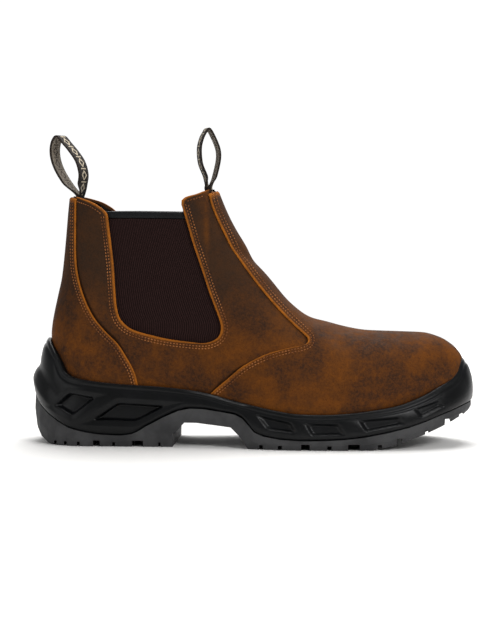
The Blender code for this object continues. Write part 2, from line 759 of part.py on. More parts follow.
def middle_channel(start, end):
    """A groove along the middle of the tread."""
    middle = float(centre_line(0.5 * (start + end)))
    outline = [(float(along(start)), -CUT_BELOW), (float(along(start)), TREAD_DEPTH)]
    outline += [(float(along(end)), TREAD_DEPTH), (float(along(end)), -CUT_BELOW)]
    return prism("channel", outline, middle - CHANNEL_WIDTH / 2, middle + CHANNEL_WIDTH / 2)


def make_loop(name, base_z, wall, forward, line, twist):
    """A loop of webbing: both its ends run down inside the collar, one in front of the other."""
    near = OVERLAP_STEP + LEATHER + 2 * GAP + LOOP_THICKNESS / 2
    apart = LOOP_THICKNESS + GAP
    sign = 1 if forward > 0 else -1
    first = [(wall(base_z + z) - sign * near, z) for z in (-LOOP_TAIL, -0.5 * LOOP_TAIL, -1.0)]
    second = [(wall(base_z + z) - sign * (near + apart), z) for z in (-1.0, -0.5 * LOOP_TAIL, -LOOP_TAIL)]
    foot = wall(base_z) - sign * (near + 0.5 * apart)
    above = [(foot + f * LOOP_HEIGHT, u * LOOP_HEIGHT) for f, u in line]
    path = curve_through(first + above + second, 2)
    tangent = np.gradient(path, axis=0)
    tangent /= np.linalg.norm(tangent, axis=1)[:, None]
    lift = np.clip((path[:, 1] + 1.0) / 10.0, 0, 1)
    lift = lift * lift * (3 - 2 * lift)
    turn = math.radians(twist) * lift
    across = np.linspace(-1, 1, 5)
    cup = LOOP_CUP * (1 - lift)
    rings = []
    for face in (-1, 1):
        for u in across[:: face]:
            offset = face * LOOP_THICKNESS / 2
            f = path[:, 0] - foot + tangent[:, 1] * offset - sign * cup * u * u
            z = path[:, 1] - tangent[:, 0] * offset
            w = u * LOOP_WIDTH / 2
            x = foot + f * np.cos(turn) + w * np.sin(turn)
            y = -f * np.sin(turn) + w * np.cos(turn)
            rings.append(np.column_stack([x, y, base_z + z]))
    rings = np.array(rings).transpose(1, 0, 2)
    count = rings.shape[1]
    faces = []
    for j in range(len(rings) - 1):
        for i in range(count):
            k = (i + 1) % count
            faces.append((j * count + i, j * count + k, (j + 1) * count + k, (j + 1) * count + i))
    for base in (0, (len(rings) - 1) * count):
        for i in range(count // 2 - 1):
            faces.append((base + i, base + i + 1, base + count - 2 - i, base + count - 1 - i))
    return solid(name, rings.reshape(-1, 3), faces)


def front_x(z):
    rows = FRONT_LINE[CROWN_FROM + 1 :]
    return float(along(smooth(rows[:, 1], rows[:, 0], z / COLLAR_HEIGHT)))


MATERIALS = {
    # node start: base colour, roughness, metallic
    "upper": ((0.16, 0.065, 0.022, 1), 0.55, 0.0),
    "gore": ((0.028, 0.014, 0.011, 1), 0.9, 0.0),
    "binding": ((0.01, 0.01, 0.012, 1), 0.6, 0.0),
    "midsole": ((0.012, 0.013, 0.014, 1), 0.5, 0.0),
    "outsole": ((0.055, 0.055, 0.055, 1), 0.6, 0.0),
    "insole": ((0.02, 0.02, 0.02, 1), 0.9, 0.0),
    "loop": ((0.03, 0.022, 0.017, 1), 0.8, 0.0),
}


def finish(obj, kind):
    """Gives a piece its material and smooth shading between sharp edges."""
    colour, roughness, metallic = MATERIALS[kind]
    material = bpy.data.materials.get(kind) or bpy.data.materials.new(kind)
    material.use_nodes = True
    shader = material.node_tree.nodes["Principled BSDF"]
    shader.inputs["Base Color"].default_value = colour
    shader.inputs["Roughness"].default_value = roughness
    shader.inputs["Metallic"].default_value = metallic
    obj.data.materials.clear()
    obj.data.materials.append(material)
    obj.data.shade_smooth()
    obj.data.set_sharp_from_angle(angle=math.radians(35))
    return obj


def main():
    for obj in list(bpy.data.objects):
        bpy.data.objects.remove(obj)
    finish(make_upper(), "upper")
    for side, word in ((-1, "lateral"), (1, "medial")):
        finish(make_gore("gore_" + word, side), "gore")
        finish(make_binding("gore_binding_" + word, side), "binding")
    finish(make_midsole(), "midsole")
    finish(make_outsole(), "outsole")
    finish(make_insole(), "insole")
    rear_top = COLLAR_BACK[1][1] * COLLAR_HEIGHT
    front_top = COLLAR_FRONT[3][1] * COLLAR_HEIGHT
    finish(make_loop("pull_loop_rear", rear_top, lambda z: float(back_x(z)), -1, REAR_LOOP, REAR_TWIST), "loop")
    finish(make_loop("pull_loop_front", front_top, front_x, 1, FRONT_LOOP, FRONT_TWIST), "loop")


main()
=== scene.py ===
import functools
import math

import bpy
import numpy as np
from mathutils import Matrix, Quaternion, Vector


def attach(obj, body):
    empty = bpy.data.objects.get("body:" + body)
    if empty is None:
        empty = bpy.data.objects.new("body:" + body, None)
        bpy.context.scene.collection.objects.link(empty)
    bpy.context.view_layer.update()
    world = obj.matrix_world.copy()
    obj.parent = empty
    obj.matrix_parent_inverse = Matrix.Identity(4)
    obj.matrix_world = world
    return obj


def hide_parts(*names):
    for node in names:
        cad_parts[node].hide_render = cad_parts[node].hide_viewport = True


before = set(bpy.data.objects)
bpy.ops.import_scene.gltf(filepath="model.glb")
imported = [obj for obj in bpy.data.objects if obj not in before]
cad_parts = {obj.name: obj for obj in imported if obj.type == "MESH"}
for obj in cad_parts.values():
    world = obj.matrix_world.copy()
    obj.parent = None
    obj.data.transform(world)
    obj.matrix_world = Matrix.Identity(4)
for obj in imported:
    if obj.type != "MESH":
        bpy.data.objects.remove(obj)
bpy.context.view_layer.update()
mm = 0.001
pi = math.pi

boot = {
    "soleLength": 306.0,
    "soleWidth": 110.0,
    "collarHeight": 177.0,
    "heelRimHeight": 71.0,  # top of the rubber behind the heel
    "overlapStep": 1.4,  # how far vamp and counter stand above the quarters
    "leather": 2.0,
    "soleMargin": 5.0,  # how far the sole stands out past the upper
    "sideUndercut": 3.5,  # how far the upper's side draws in at the seat
    "tuckHeight": 18.0,  # and over what height above the seat
    "seatHeight": 30.0,
    "ballHeight": 15.5,
    "toeSeatHeight": 33.0,
    "rubberEdge": 8.5,
    "heelRound": 0.135,  # shares of the length that the rounded ends take, and how square they are
    "heelPower": 2.1,
    "toeRound": 0.30,
    "toePower": 2.7,
    "taperFade": (0.42, 0.70),  # between these shares of the length the shaft's taper fades out
    "chartHeight": 150.0,  # about the way up the leather from the sole to the collar
}
halfLength = boot["soleLength"] / 2
halfWidth = boot["soleWidth"] / 2
curveSteps = 12

# along, half width of the lateral and of the medial side, centre line
planRows = np.array(
    [(0.00, 0.75, 0.74, 0.000), (0.10, 0.76, 0.74, 0.000), (0.22, 0.75, 0.70, 0.000),
     (0.34, 0.75, 0.63, 0.000), (0.44, 0.81, 0.67, 0.000), (0.54, 0.94, 0.82, 0.000),
     (0.62, 1.00, 0.93, 0.003), (0.70, 1.00, 0.96, 0.014), (0.78, 0.98, 0.95, 0.026),
     (0.90, 0.95, 0.95, 0.045), (1.00, 0.93, 0.94, 0.055)]
)
# the back edge of the upper: height, along
backRows = np.array(
    [(0.170, 0.0620), (0.230, 0.0520), (0.300, 0.0460), (0.360, 0.0430), (0.420, 0.0420), (0.460, 0.0440),
     (0.500, 0.0480), (0.570, 0.0567), (0.641, 0.0655), (0.724, 0.0712), (0.806, 0.0757), (0.889, 0.0798),
     (0.971, 0.0845), (1.115, 0.0906)]
)
# the front edge from the toe up over the instep: along, height
frontRows = np.array(
    [(0.9640, 0.186), (0.9735, 0.225), (0.9785, 0.262), (0.9789, 0.293), (0.9750, 0.332), (0.9637, 0.364),
     (0.9480, 0.389), (0.9230, 0.414), (0.8840, 0.432), (0.8240, 0.436), (0.7600, 0.440), (0.7000, 0.458),
     (0.6440, 0.493), (0.5900, 0.549), (0.5380, 0.642), (0.4900, 0.755), (0.4520, 0.862), (0.4180, 1.001),
     (0.4000, 1.104)]
)
# the height on the back edge that faces each row of the front edge
backRise = np.array(
    [0.175, 0.215, 0.255, 0.292, 0.325, 0.357, 0.389, 0.421, 0.453, 0.487,
     0.527, 0.572, 0.623, 0.680, 0.745, 0.815, 0.888, 0.975, 1.080]
)
# height, width of the shaft; along, squareness of the crown; height, reach of the rounded back
taperRows = np.array(
    [(0.17, 1.00), (0.33, 1.00), (0.49, 0.96), (0.63, 0.94), (0.77, 0.97), (0.96, 1.04), (1.10, 1.07)]
)
crownRows = np.array([(0.00, 2.6), (0.40, 2.6), (0.52, 2.25), (0.66, 2.35), (0.80, 2.9), (1.00, 3.2)])
roundRows = np.array([(0.17, 0.125), (0.45, 0.135), (0.70, 0.150), (1.10, 0.160)])

# seams and edges in side view: along, height
vampLine = np.array(
    [(0.3883, 1.103), (0.4010, 1.001), (0.4140, 0.915), (0.4431, 0.807), (0.4811, 0.700), (0.5276, 0.595),
     (0.5737, 0.507), (0.6144, 0.442), (0.6274, 0.420), (0.6220, 0.401), (0.5796, 0.385), (0.5330, 0.361),
     (0.4869, 0.318), (0.4501, 0.264), (0.4130, 0.207), (0.3728, 0.125)]
)
counterLine = np.array(
    [(0.1104, 1.112), (0.1056, 1.001), (0.1047, 0.859), (0.1062, 0.717), (0.1142, 0.638), (0.1306, 0.562),
     (0.1515, 0.497), (0.1777, 0.444), (0.2057, 0.396), (0.2276, 0.338), (0.2436, 0.285), (0.2515, 0.230),
     (0.2629, 0.127)]
)
goreLine = np.array(
    [(0.1804, 0.887), (0.1866, 0.807), (0.1940, 0.706), (0.1986, 0.607), (0.2037, 0.526), (0.2141, 0.482),
     (0.2374, 0.451), (0.2774, 0.430), (0.3241, 0.414), (0.3828, 0.404), (0.4093, 0.407), (0.4289, 0.426),
     (0.4349, 0.460), (0.4283, 0.502), (0.4093, 0.587), (0.3905, 0.683), (0.3715, 0.780), (0.3555, 0.876),
     (0.3469, 0.927)]
)
collarBackLine = np.array(
    [(0.0444, 0.976), (0.0936, 0.963), (0.1160, 0.954), (0.1433, 0.938), (0.1654, 0.916), (0.1761, 0.900)]
)
collarFrontLine = np.array(
    [(0.3476, 0.946), (0.3582, 0.962), (0.3817, 0.975), (0.4012, 0.989), (0.4187, 1.000), (0.4547, 1.012)]
)
goreTop = 0.901 * boot["collarHeight"]
goreFoot = goreLine[:, 1].min() * boot["collarHeight"]


def linearColour(hexText):
    # sRGB hex to linear light
    parts = [int(hexText[i : i + 2], 16) / 255 for i in (1, 3, 5)]
    return tuple(c / 12.92 if c <= 0.04045 else ((c + 0.055) / 1.055) ** 2.4 for c in parts) + (1.0,)


def eased(t):
    # from 0 to 1 with level ends
    t = np.clip(t, 0, 1)
    return t * t * (3 - 2 * t)


def unit(v):
    # directions with their lengths made one
    return v / np.maximum(np.linalg.norm(v, axis=-1, keepdims=True), 1e-9)


def runOf(line):
    # the way along a line up to each of its points
    return np.concatenate([[0], np.cumsum(np.linalg.norm(np.diff(line, axis=0), axis=1))])


def readTable(tableX, tableY, x):
    # smooth curve through table rows with no overshoot between them, straight beyond its ends
    xs = np.asarray(tableX, float)
    ys = np.asarray(tableY, float)
    x = np.asarray(x, float)
    h = np.diff(xs)
    d = np.diff(ys) / h
    m = np.empty_like(ys)
    m[0] = d[0]
    m[-1] = d[-1]
    product = d[:-1] * d[1:]
    w1 = 2 * h[1:] + h[:-1]
    w2 = h[1:] + 2 * h[:-1]
    safe = np.where(product > 0, product, 1.0)
    mean = (w1 + w2) * safe / (w1 * d[1:] + w2 * d[:-1] + np.where(product > 0, 0.0, 1e9))
    m[1:-1] = np.where(product > 0, mean, 0.0)
    i = np.clip(np.searchsorted(xs, x) - 1, 0, len(h) - 1)
    t = (x - xs[i]) / h[i]
    u = np.clip(t, 0, 1)
    value = ys[i] + (ys[i + 1] - ys[i]) * eased(u)
    value = value + h[i] * (u * (1 - u) ** 2 * m[i] + u * u * (u - 1) * m[i + 1])
    return value + np.minimum(t, 0) * h[i] * m[0] + np.maximum(t - 1, 0) * h[i] * m[-1]


def readRows(rows, x, column=1):
    # the smooth curve of one column of a table over its first
    return readTable(rows[:, 0], rows[:, column], x)


def curveThrough(points, steps=curveSteps):
    # Catmull-Rom curve through the points, steps samples to a span
    p = np.asarray(points, float)
    p = np.vstack([2 * p[0] - p[1], p, 2 * p[-1] - p[-2]])
    t = np.arange(steps)[None, :, None] / steps
    a, b, c, d = (p[k : len(p) - 3 + k, None, :] for k in range(4))
    out = 0.5 * (2 * b + (c - a) * t + (2 * a - 5 * b + 4 * c - d) * t**2 + (3 * b - a - 3 * c + d) * t**3)
    return np.vstack([out.reshape(-1, p.shape[1]), p[-2]])


def evenly(line, count):
    # count points at equal steps of arc length along a polyline
    run = runOf(line)
    at = np.linspace(0, run[-1], count)
    return np.column_stack([np.interp(at, run, line[:, k]) for k in range(line.shape[1])])


def alongX(share):
    # share of the length to x, which is 0 at the middle
    return np.asarray(share) * boot["soleLength"] - halfLength


def shareOf(x):
    # x back to its share of the length
    return (np.asarray(x) + halfLength) / boot["soleLength"]


def planHalf(share, lateral):
    # half the sole's width on one side of its centre line
    both = [readRows(planRows, share, k) * halfWidth for k in (1, 2)]
    return np.where(lateral, both[0], both[1])


def centreLine(share):
    # how far the last swings to the medial side
    return readRows(planRows, share, 3) * boot["soleWidth"]


def heelRounding(share):
    # quarter of a rounded square over the heel's share of the length
    return np.sqrt(np.clip(1 - np.clip(1 - share / boot["heelRound"], 0, 1) ** boot["heelPower"], 0, 1))


def toeRounding(share, tip=1.0):
    # the same over the toe's share, ending at the tip
    reach = boot["toeRound"]
    return np.sqrt(np.clip(1 - np.clip((share - (tip - reach)) / reach, 0, 1) ** boot["toePower"], 0, 1))


def seatHeight(x):
    # height of the sole's seat: down from the heel to the ball, up to the toe
    seat, ball, toe = boot["seatHeight"], boot["ballHeight"], boot["toeSeatHeight"]
    shares = [0.00, 0.12, 0.30, 0.42, 0.54, 0.68, 0.82, 0.90, 0.96, 1.00]
    heights = [seat + 1, seat, seat - 1.5, seat - 0.42 * (seat - ball), ball + 1.5, ball,
               ball + 0.22 * (toe - ball), ball + 0.59 * (toe - ball), toe, toe + 2]
    return readTable(shares, heights, shareOf(x))


def backX(z):
    # x of the back edge at a height
    return alongX(readRows(backRows, z / boot["collarHeight"]))


def crownHeight(x):
    # height of the front edge over x, behind the toe's tip
    return readRows(frontRows[3:][::-1], shareOf(x)) * boot["collarHeight"]


def toeTip(z):
    # share of the length at which the toe ends at a height
    rows = frontRows[:4]
    return readTable(rows[:, 1], rows[:, 0], np.minimum(z / boot["collarHeight"], rows[-1, 1])) + 0.0005


def upperHalf(x, z, lateral):
    # plan width, drawn in over the crown, round the heel and round the toe, and tapered up the shaft
    share = shareOf(x)
    high = z / boot["collarHeight"]
    seat = seatHeight(x)
    rise = np.clip((z - seat) / (crownHeight(x) - seat), 0, 1)
    crown = np.sqrt(np.clip(1 - rise ** readRows(crownRows, share), 0, 1))
    reach = readRows(roundRows, high) * boot["soleLength"]
    back = np.sqrt(np.clip(1 - np.clip(1 - (x - backX(z)) / reach, 0, 1) ** boot["heelPower"], 0, 1))
    tuck = np.clip(1 - (z - seat) / boot["tuckHeight"], 0, 1) ** 2
    start, end = boot["taperFade"]
    taper = 1 + (readRows(taperRows, high) - 1) * (1 - eased((share - start) / (end - start)))
    widest = (planHalf(share, lateral) - boot["soleMargin"]) * taper - boot["sideUndercut"] * tuck
    return widest * crown * back * toeRounding(share, toeTip(z))


# the rows of the last, from 0 at the sole to 1 above the collar
rowIndex = np.arange(len(backRise)) / (len(backRise) - 1.0)
heelX = float(backX(backRise[0] * boot["collarHeight"]))
toeX = float(alongX(frontRows[0, 0]))


def ringXZ(step, v):
    # one ring of the last at height v: from its back point to its front point, dipping with the seat
    backZ = readTable(rowIndex, backRise, v) * boot["collarHeight"]
    rear = backX(backZ)
    frontZ = readTable(rowIndex, frontRows[:, 1], v) * boot["collarHeight"]
    frontTable = alongX(readTable(rowIndex, frontRows[:, 0], v))
    low = alongX(toeTip(frontZ) - 0.0006)
    blend = np.clip((v - rowIndex[2]) / (rowIndex[3] - rowIndex[2]), 0, 1)
    front = low + (frontTable - low) * blend
    frontZ = frontZ + (crownHeight(front) - frontZ) * blend
    heelSeat = float(seatHeight(heelX))
    toeSeat = float(seatHeight(toeX))
    seatLine = heelX + step * (toeX - heelX)
    dip = heelSeat + (toeSeat - heelSeat) * step - seatHeight(seatLine)
    fall = np.minimum(1.0, 1.35 * (1 - v))
    z = backZ + (frontZ - backZ) * step - dip * fall
    return rear + step * (front - rear), z


def lastPoint(angle, v):
    # angle runs round the boot: 0 heel, pi toe by the lateral side, on to 2 pi by the medial side
    angle = np.asarray(angle, float) % (2 * pi)
    step = (1 - np.cos(angle)) / 2
    x, z = ringXZ(step, np.asarray(v, float))
    lateral = angle < pi
    half = upperHalf(x, z, lateral)
    half = np.where((np.sin(angle) ** 2 < 1e-9), 0.0, half)
    y = np.where(lateral, -half, half) + centreLine(shareOf(x))
    return np.stack(np.broadcast_arrays(x, y, z), axis=-1)


def lastFrame(angle, v):
    # point and outward normal, from the points a little further round and a little higher
    angle = np.asarray(angle, float)
    v = np.asarray(v, float)
    turn, rise = 0.012, 0.004
    around = lastPoint(angle + turn, v) - lastPoint(angle - turn, v)
    up = lastPoint(angle, v + rise) - lastPoint(angle, v - rise)
    return lastPoint(angle, v), unit(np.cross(around, up))


def toChart(line):
    # angle and v of side view points (mm) on the lateral side, v found by halving
    x = line[..., 0]
    z = line[..., 1]
    lowV = np.full(x.shape, -0.05)
    highV = np.full(x.shape, 1.05)
    for _ in range(34):
        v = (lowV + highV) / 2
        backZ = readTable(rowIndex, backRise, v) * boot["collarHeight"]
        rear = backX(backZ)
        front = ringXZ(np.ones_like(v), v)[0]
        step = np.clip((x - rear) / (front - rear), 0, 1)
        tooLow = ringXZ(step, v)[1] < z
        lowV = np.where(tooLow, v, lowV)
        highV = np.where(tooLow, highV, v)
    return np.arccos(1 - 2 * step), v


def sideLine(rows):
    # a smooth side view line in mm through rows of shares
    p = curveThrough(rows)
    return np.column_stack([alongX(p[:, 0]), p[:, 1] * boot["collarHeight"]])


def shifted(line, distance):
    # a side view line moved to its left as it runs
    d = unit(np.gradient(line, axis=0))
    return line + distance * np.column_stack([-d[:, 1], d[:, 0]])


def gridFaces(rows, columns, closed=False):
    # quads of a grid of points, row after row
    i = np.arange(rows - 1)[:, None]
    j = np.arange(columns if closed else columns - 1)[None, :]
    k = (j + 1) % columns
    a = i * columns + j
    b = i * columns + k
    return np.stack([a, b, b + columns, a + columns], axis=-1).reshape(-1, 4)


def makePiece(name, points, faces, material, uv=None, values=None):
    # points in mm become a mesh in place; uv is one pair to a point, values are named floats to a point
    points = np.asarray(points, float).reshape(-1, 3)
    mesh = bpy.data.meshes.new(name)
    mesh.from_pydata((points * mm).tolist(), [], [tuple(f) for f in faces])
    mesh.validate()
    mesh.polygons.foreach_set("use_smooth", np.ones(len(mesh.polygons), bool))
    if uv is not None:
        loops = np.empty(len(mesh.loops), int)
        mesh.loops.foreach_get("vertex_index", loops)
        layer = mesh.uv_layers.new(name="surface")
        layer.data.foreach_set("uv", np.asarray(uv, float).reshape(-1, 2)[loops].ravel())
    for key, data in (values or {}).items():
        layer = mesh.attributes.new(key, "FLOAT", "POINT")
        layer.data.foreach_set("value", np.asarray(data, np.float32).ravel())
    mesh.update()
    piece = bpy.data.objects.new(name, mesh)
    bpy.context.scene.collection.objects.link(piece)
    mesh.materials.append(material)
    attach(piece, "root")
    print("made", name, len(mesh.polygons), "faces")
    return piece


rollSteps = 7


def rollEdge(points, normals, wear, end, radius, under=2.5):
    # adds rows at the first or last row of a grid: half a circle over the edge, then a strip back under it
    edge, inner, n = (points[0], points[1], normals[0]) if end == 0 else (points[-1], points[-2], normals[-1])
    b = edge - inner
    b = unit(b - n * np.sum(b * n, axis=-1, keepdims=True))
    turn = np.linspace(0, pi, rollSteps + 1)[1:, None, None]
    rowNormals = np.sin(turn) * b + np.cos(turn) * n
    rows = edge - n * radius + radius * rowNormals
    rows = np.concatenate([rows, rows[-1:] - b * under])
    rowNormals = np.concatenate([rowNormals, -n[None]])
    # worn over the outside of the fold, fading to nothing on its under side
    worn = np.clip(2.1 - turn[:, 0, 0] / (0.5 * pi), 0, 1)[:, None] + np.zeros((1, points.shape[1]))
    rowWear = np.concatenate([worn, np.zeros((1, points.shape[1]))])
    pairs = ((rows, points), (rowNormals, normals), (rowWear, wear))
    if end == 0:
        return tuple(np.concatenate([added[::-1], old]) for added, old in pairs)
    return tuple(np.concatenate([old, added]) for added, old in pairs)


def swap(grid):
    # rows and columns of each array change places
    return tuple(np.swapaxes(a, 0, 1) for a in grid)


# Lines on the upper in its own chart: angle and height share
rimLine = np.vstack([sideLine(collarBackLine), sideLine(collarFrontLine)])
rimStep = alongX([collarBackLine[-1, 0] + 0.003, collarFrontLine[0, 0] - 0.001])
topLine = np.column_stack([rimStep, np.full(2, goreTop)])
split = curveSteps * (len(collarBackLine) - 1) + 1
rimLine = np.vstack([rimLine[:split], topLine, rimLine[split:]])
rimAngle, rimV = toChart(rimLine)


def rimAt(angle, lower=0.0):
    # v of the collar's edge at an angle, a few millimetres lower if asked
    folded = np.abs((np.asarray(angle) + pi) % (2 * pi) - pi)
    return np.interp(folded, rimAngle, rimV) - lower / boot["chartHeight"]


def seamTable(line):
    # gives the angle of a seam at each height of the chart
    angle, v = toChart(line)
    order = np.argsort(v, kind="stable")
    return lambda at: np.interp(at, v[order], angle[order])


def panelGrid(startAngle, endAngle, rows, columns, lower):
    # v rises from the feather to the collar, the angle runs from one side line to the other
    t = np.linspace(0, 1, rows)[:, None] + np.zeros((1, columns))
    s = np.linspace(0, 1, columns)[None, :]
    v = t.copy()
    for _ in range(8):
        angle = startAngle(v) + (endAngle(v) - startAngle(v)) * s
        v = t * rimAt(angle, lower)
    return angle, v


def edgeFade(points, reach, axis):
    # 1 at both borders of a grid along an axis, fading away over reach mm
    gap = np.linalg.norm(np.diff(points, axis=axis), axis=-1)
    zero = np.zeros_like(np.take(gap, [0], axis=axis))
    run = np.concatenate([zero, np.cumsum(gap, axis=axis)], axis=axis)
    whole = np.take(run, [-1], axis=axis)
    return np.exp(-((np.minimum(run, whole - run) / reach) ** 2))


def bendOf(points, normals, tight=18.0):
    # how quickly the surface turns, in shares of a tight curve of that radius, then softened
    most = np.zeros(points.shape[:2])
    for axis in (0, 1):
        turn = np.linalg.norm(np.gradient(normals, axis=axis), axis=-1)
        step = np.maximum(np.linalg.norm(np.gradient(points, axis=axis), axis=-1), 0.15)
        most = np.maximum(most, turn / step)
    most = np.minimum(most * tight, 1.5)
    for _ in range(4):
        around = most[:-2, 1:-1] + most[2:, 1:-1] + most[1:-1, :-2] + most[1:-1, 2:]
        most[1:-1, 1:-1] = (around + most[1:-1, 1:-1]) / 5
    return np.clip(most, 0, 1)


def addNode(tree, kind, sockets=(), out=0, **settings):
    # one shader node: its settings, then its sockets, in order or by name, linked or set; gives one output
    node = tree.nodes.new("ShaderNode" + kind)
    for key, value in settings.items():
        setattr(node, key, value)
    for key, value in sockets.items() if isinstance(sockets, dict) else enumerate(sockets):
        if isinstance(value, bpy.types.NodeSocket):
            tree.links.new(value, node.inputs[key])
        else:
            node.inputs[key].default_value = value
    return node.outputs[out]


# settings that many nodes share
smooth = {"interpolation_type": "SMOOTHSTEP"}
plus = {"operation": "ADD"}
times = {"operation": "MULTIPLY"}
over = {"operation": "GREATER_THAN"}
below = {"operation": "LESS_THAN"}


def newMaterial(name, roughness=0.5, specular=0.5, glossTint="#ffffff"):
    # an empty material, its own addNode, and the place on the object in millimetres
    material = bpy.data.materials.new(name)
    material.use_nodes = True
    add = functools.partial(addNode, material.node_tree)
    shader = material.node_tree.nodes["Principled BSDF"]
    shader.inputs["Roughness"].default_value = roughness
    shader.inputs["Specular IOR Level"].default_value = specular
    shader.inputs["Specular Tint"].default_value = linearColour(glossTint)
    place = add("TexCoord", out="Object")
    place = add("VectorMath", {0: place, "Scale": 1000.0}, operation="SCALE")
    return material, add, place


def finishMaterial(material, tone, layers, rough, relief):
    # layers: where and in which colour, each over the last; relief: height from 0 to 1, depth in mm, strength
    tree = material.node_tree
    shader = tree.nodes["Principled BSDF"]
    for where, colour in layers:
        tone = addNode(tree, "Mix", {0: where, 6: tone, 7: linearColour(colour)}, 2, data_type="RGBA")
    tree.links.new(tone, shader.inputs["Base Color"])
    if rough is not None:
        tree.links.new(rough, shader.inputs["Roughness"])
    under = {}
    for height, depth, strength in relief:
        sockets = {"Height": height, "Distance": depth * mm, "Strength": strength, **under}
        under = {"Normal": addNode(tree, "Bump", sockets)}
    tree.links.new(under["Normal"], shader.inputs["Normal"])
    return material


leatherLook = {
    "dark": "#33231b",
    "brown": "#4d2e18",
    "warm": "#744216",
    "edge": "#a4601f",
    # painted shade laid over the shaft
    "shaft": "#30251e",
    # painted shadow in the step beside a seam
    "seam": "#150c06",
    "pore": "#1c120c",
    "grain": 0.85,
    "roughness": (0.58, 0.84),
    # size in mm, detail and roughness of the clouds, the mottle, the pores, the speckle and the swell
    "noises": ((34.0, 4.0, 0.6), (7.0, 5.0, 0.65), (0.9, 3.0, 0.6), (1.7, 4.0, 0.7), (6.0, 3.0, 0.55)),
    # heights in mm over which the painted shade of the shaft comes in
    "shaftFrom": 62.0,
    "shaftTo": 125.0,
}


def makeLeather():
    # oiled pull-up cowhide: dark in the flats, warm where it bends, bright at its folded edges
    look = leatherLook
    material, add, place = newMaterial("leather_oiled_pullup", 0.5, 0.05, "#ffcf9a")
    patch, mottle, fine, speckle, swell = (
        add("TexNoise", {"Vector": place, "Scale": 1.0 / size, "Detail": detail, "Roughness": rough})
        for size, detail, rough in look["noises"]
    )
    names = ("bend", "wear", "shade")
    bend, wear, shade = (add("Attribute", out="Fac", attribute_name=name) for name in names)
    flat = add("MapRange", [patch, 0.40, 0.60], **smooth)
    # wax moved about by the hand: warm clouds that gather where the leather turns
    cloud = add("Math", [add("Math", [mottle, 0.55], **times), add("Math", [patch, 0.45], **times)], **plus)
    cloud = add("Math", [cloud, add("Math", [bend, 0.13], **times)], **plus)
    cloud = add("MapRange", [cloud, 0.46, 0.78, 0.0, 0.7], **smooth)
    speckle = add("MapRange", [speckle, 0.35, 0.65, 0.0, 0.32], **smooth)
    # painted shade: the shaft is darkened from shaftFrom to shaftTo mm up, where less light falls, and stays
    # darker than the foot, but not where it bends
    upright = add("SeparateXYZ", [place], 2)
    high = add("MapRange", [upright, look["shaftFrom"], look["shaftTo"], 0.0, 0.8], **smooth)
    shaft = add("Math", [high, add("MapRange", [bend, 0.3, 1.0, 1.0, 0.35], **smooth)], **times)
    edge = add("Math", [wear, add("MapRange", [mottle, 0.25, 0.6, 0.55, 1.0], **smooth)], **times)
    # painted shadow in the step beside a seam, and pores darken the grain a little
    seam = add("Math", [shade, 0.8], **times)
    pore = add("MapRange", [fine, 0.30, 0.50, 0.35, 0.0], **smooth)
    layers = [
        (flat, look["brown"]),
        (cloud, look["warm"]),
        (speckle, look["warm"]),
        (shaft, look["shaft"]),
        (edge, look["edge"]),
        (seam, look["seam"]),
        (pore, look["pore"]),
    ]
    rough = add("Math", [add("Math", [mottle, 0.6], **times), add("Math", [fine, 0.4], **times)], **plus)
    rough = add("MapRange", [rough, 0.35, 0.65, *look["roughness"]], **smooth)
    cells = {"Vector": place, "Scale": 1.0 / look["grain"], "Randomness": 1.0}
    cell = add("TexVoronoi", cells, "Distance", feature="SMOOTH_F1")
    relief = [(swell, 0.35, 0.6), (cell, 0.10, 0.55), (fine, 0.06, 0.5)]
    return finishMaterial(material, linearColour(look["dark"]), layers, rough, relief)


def makePlain(name, colour, darker, size, roughness, depth, specular=0.4):
    # one tone with a fine break-up of that size in mm, and a bump of that depth
    material, add, place = newMaterial(name, roughness, specular)
    fine, broad = (
        add("TexNoise", {"Vector": place, "Scale": 1.0 / grain, "Detail": detail, "Roughness": rough})
        for grain, detail, rough in ((size, 4.0, 0.6), (18.0, 3.0, 0.5))
    )
    layers = [
        (add("MapRange", [broad, 0.35, 0.65], **smooth), colour),
        (add("MapRange", [fine, 0.35, 0.7, 0.25, 0.0], **smooth), darker),
    ]
    rough = add("MapRange", [fine, 0.3, 0.7, roughness - 0.06, roughness + 0.08], **smooth)
    return finishMaterial(material, linearColour(darker), layers, rough, [(fine, depth, 0.6)])


# crest is the painted highlight on each rib, deep the painted shade between the ribs
goreLook = {"deep": "#0e0807", "crest": "#332120", "fuzz": "#1d1210", "fuzzSize": 0.5, "pick": 0.8}


def makeGoreCloth():
    # ribbed elastic of dark threads, with a painted highlight on the crest of each rib and painted shade deep
    # between the ribs
    look = goreLook
    material, add, place = newMaterial("gore_elastic_woven", 0.9, 0.06)
    crest = add("Attribute", out="Fac", attribute_name="crest")
    sockets = {"Vector": place, "Scale": 1.0 / look["fuzzSize"], "Detail": 3.0, "Roughness": 0.55}
    fuzz = add("TexNoise", sockets)
    layers = [(crest, look["crest"]), (add("MapRange", [fuzz, 0.35, 0.65, 0.0, 0.5], **smooth), look["fuzz"])]
    # picks of the weave, 0.8 mm apart up the rib
    pick = add("Math", [add("SeparateXYZ", [place], 2), 2 * pi / look["pick"]], **times)
    pick = add("Math", [pick], operation="SINE")
    relief = [(pick, 0.05, 0.5), (fuzz, 0.06, 0.5)]
    return finishMaterial(material, linearColour(look["deep"]), layers, None, relief)


webbingLook = {
    "ground": "#1f1713",
    "motif": "#cdbfa6",
    "inside": "#8d8375",
    "insideMotif": "#3a2c22",
    "selvedge": "#2a211b",
    # painted shade in the low gaps of the weave
    "weaveGapShade": "#120e0b",
    "repeat": 9.0,  # mm from lozenge to lozenge
    "outline": (2.1, 3.7),
    "barFrom": 4.05,
    "barReach": 4.0,
    "bandReach": 4.8,
    "selvedgeAt": (6.4, 6.9),
    "warp": 0.75,  # thread spacings in mm
    "weft": 0.65,
}


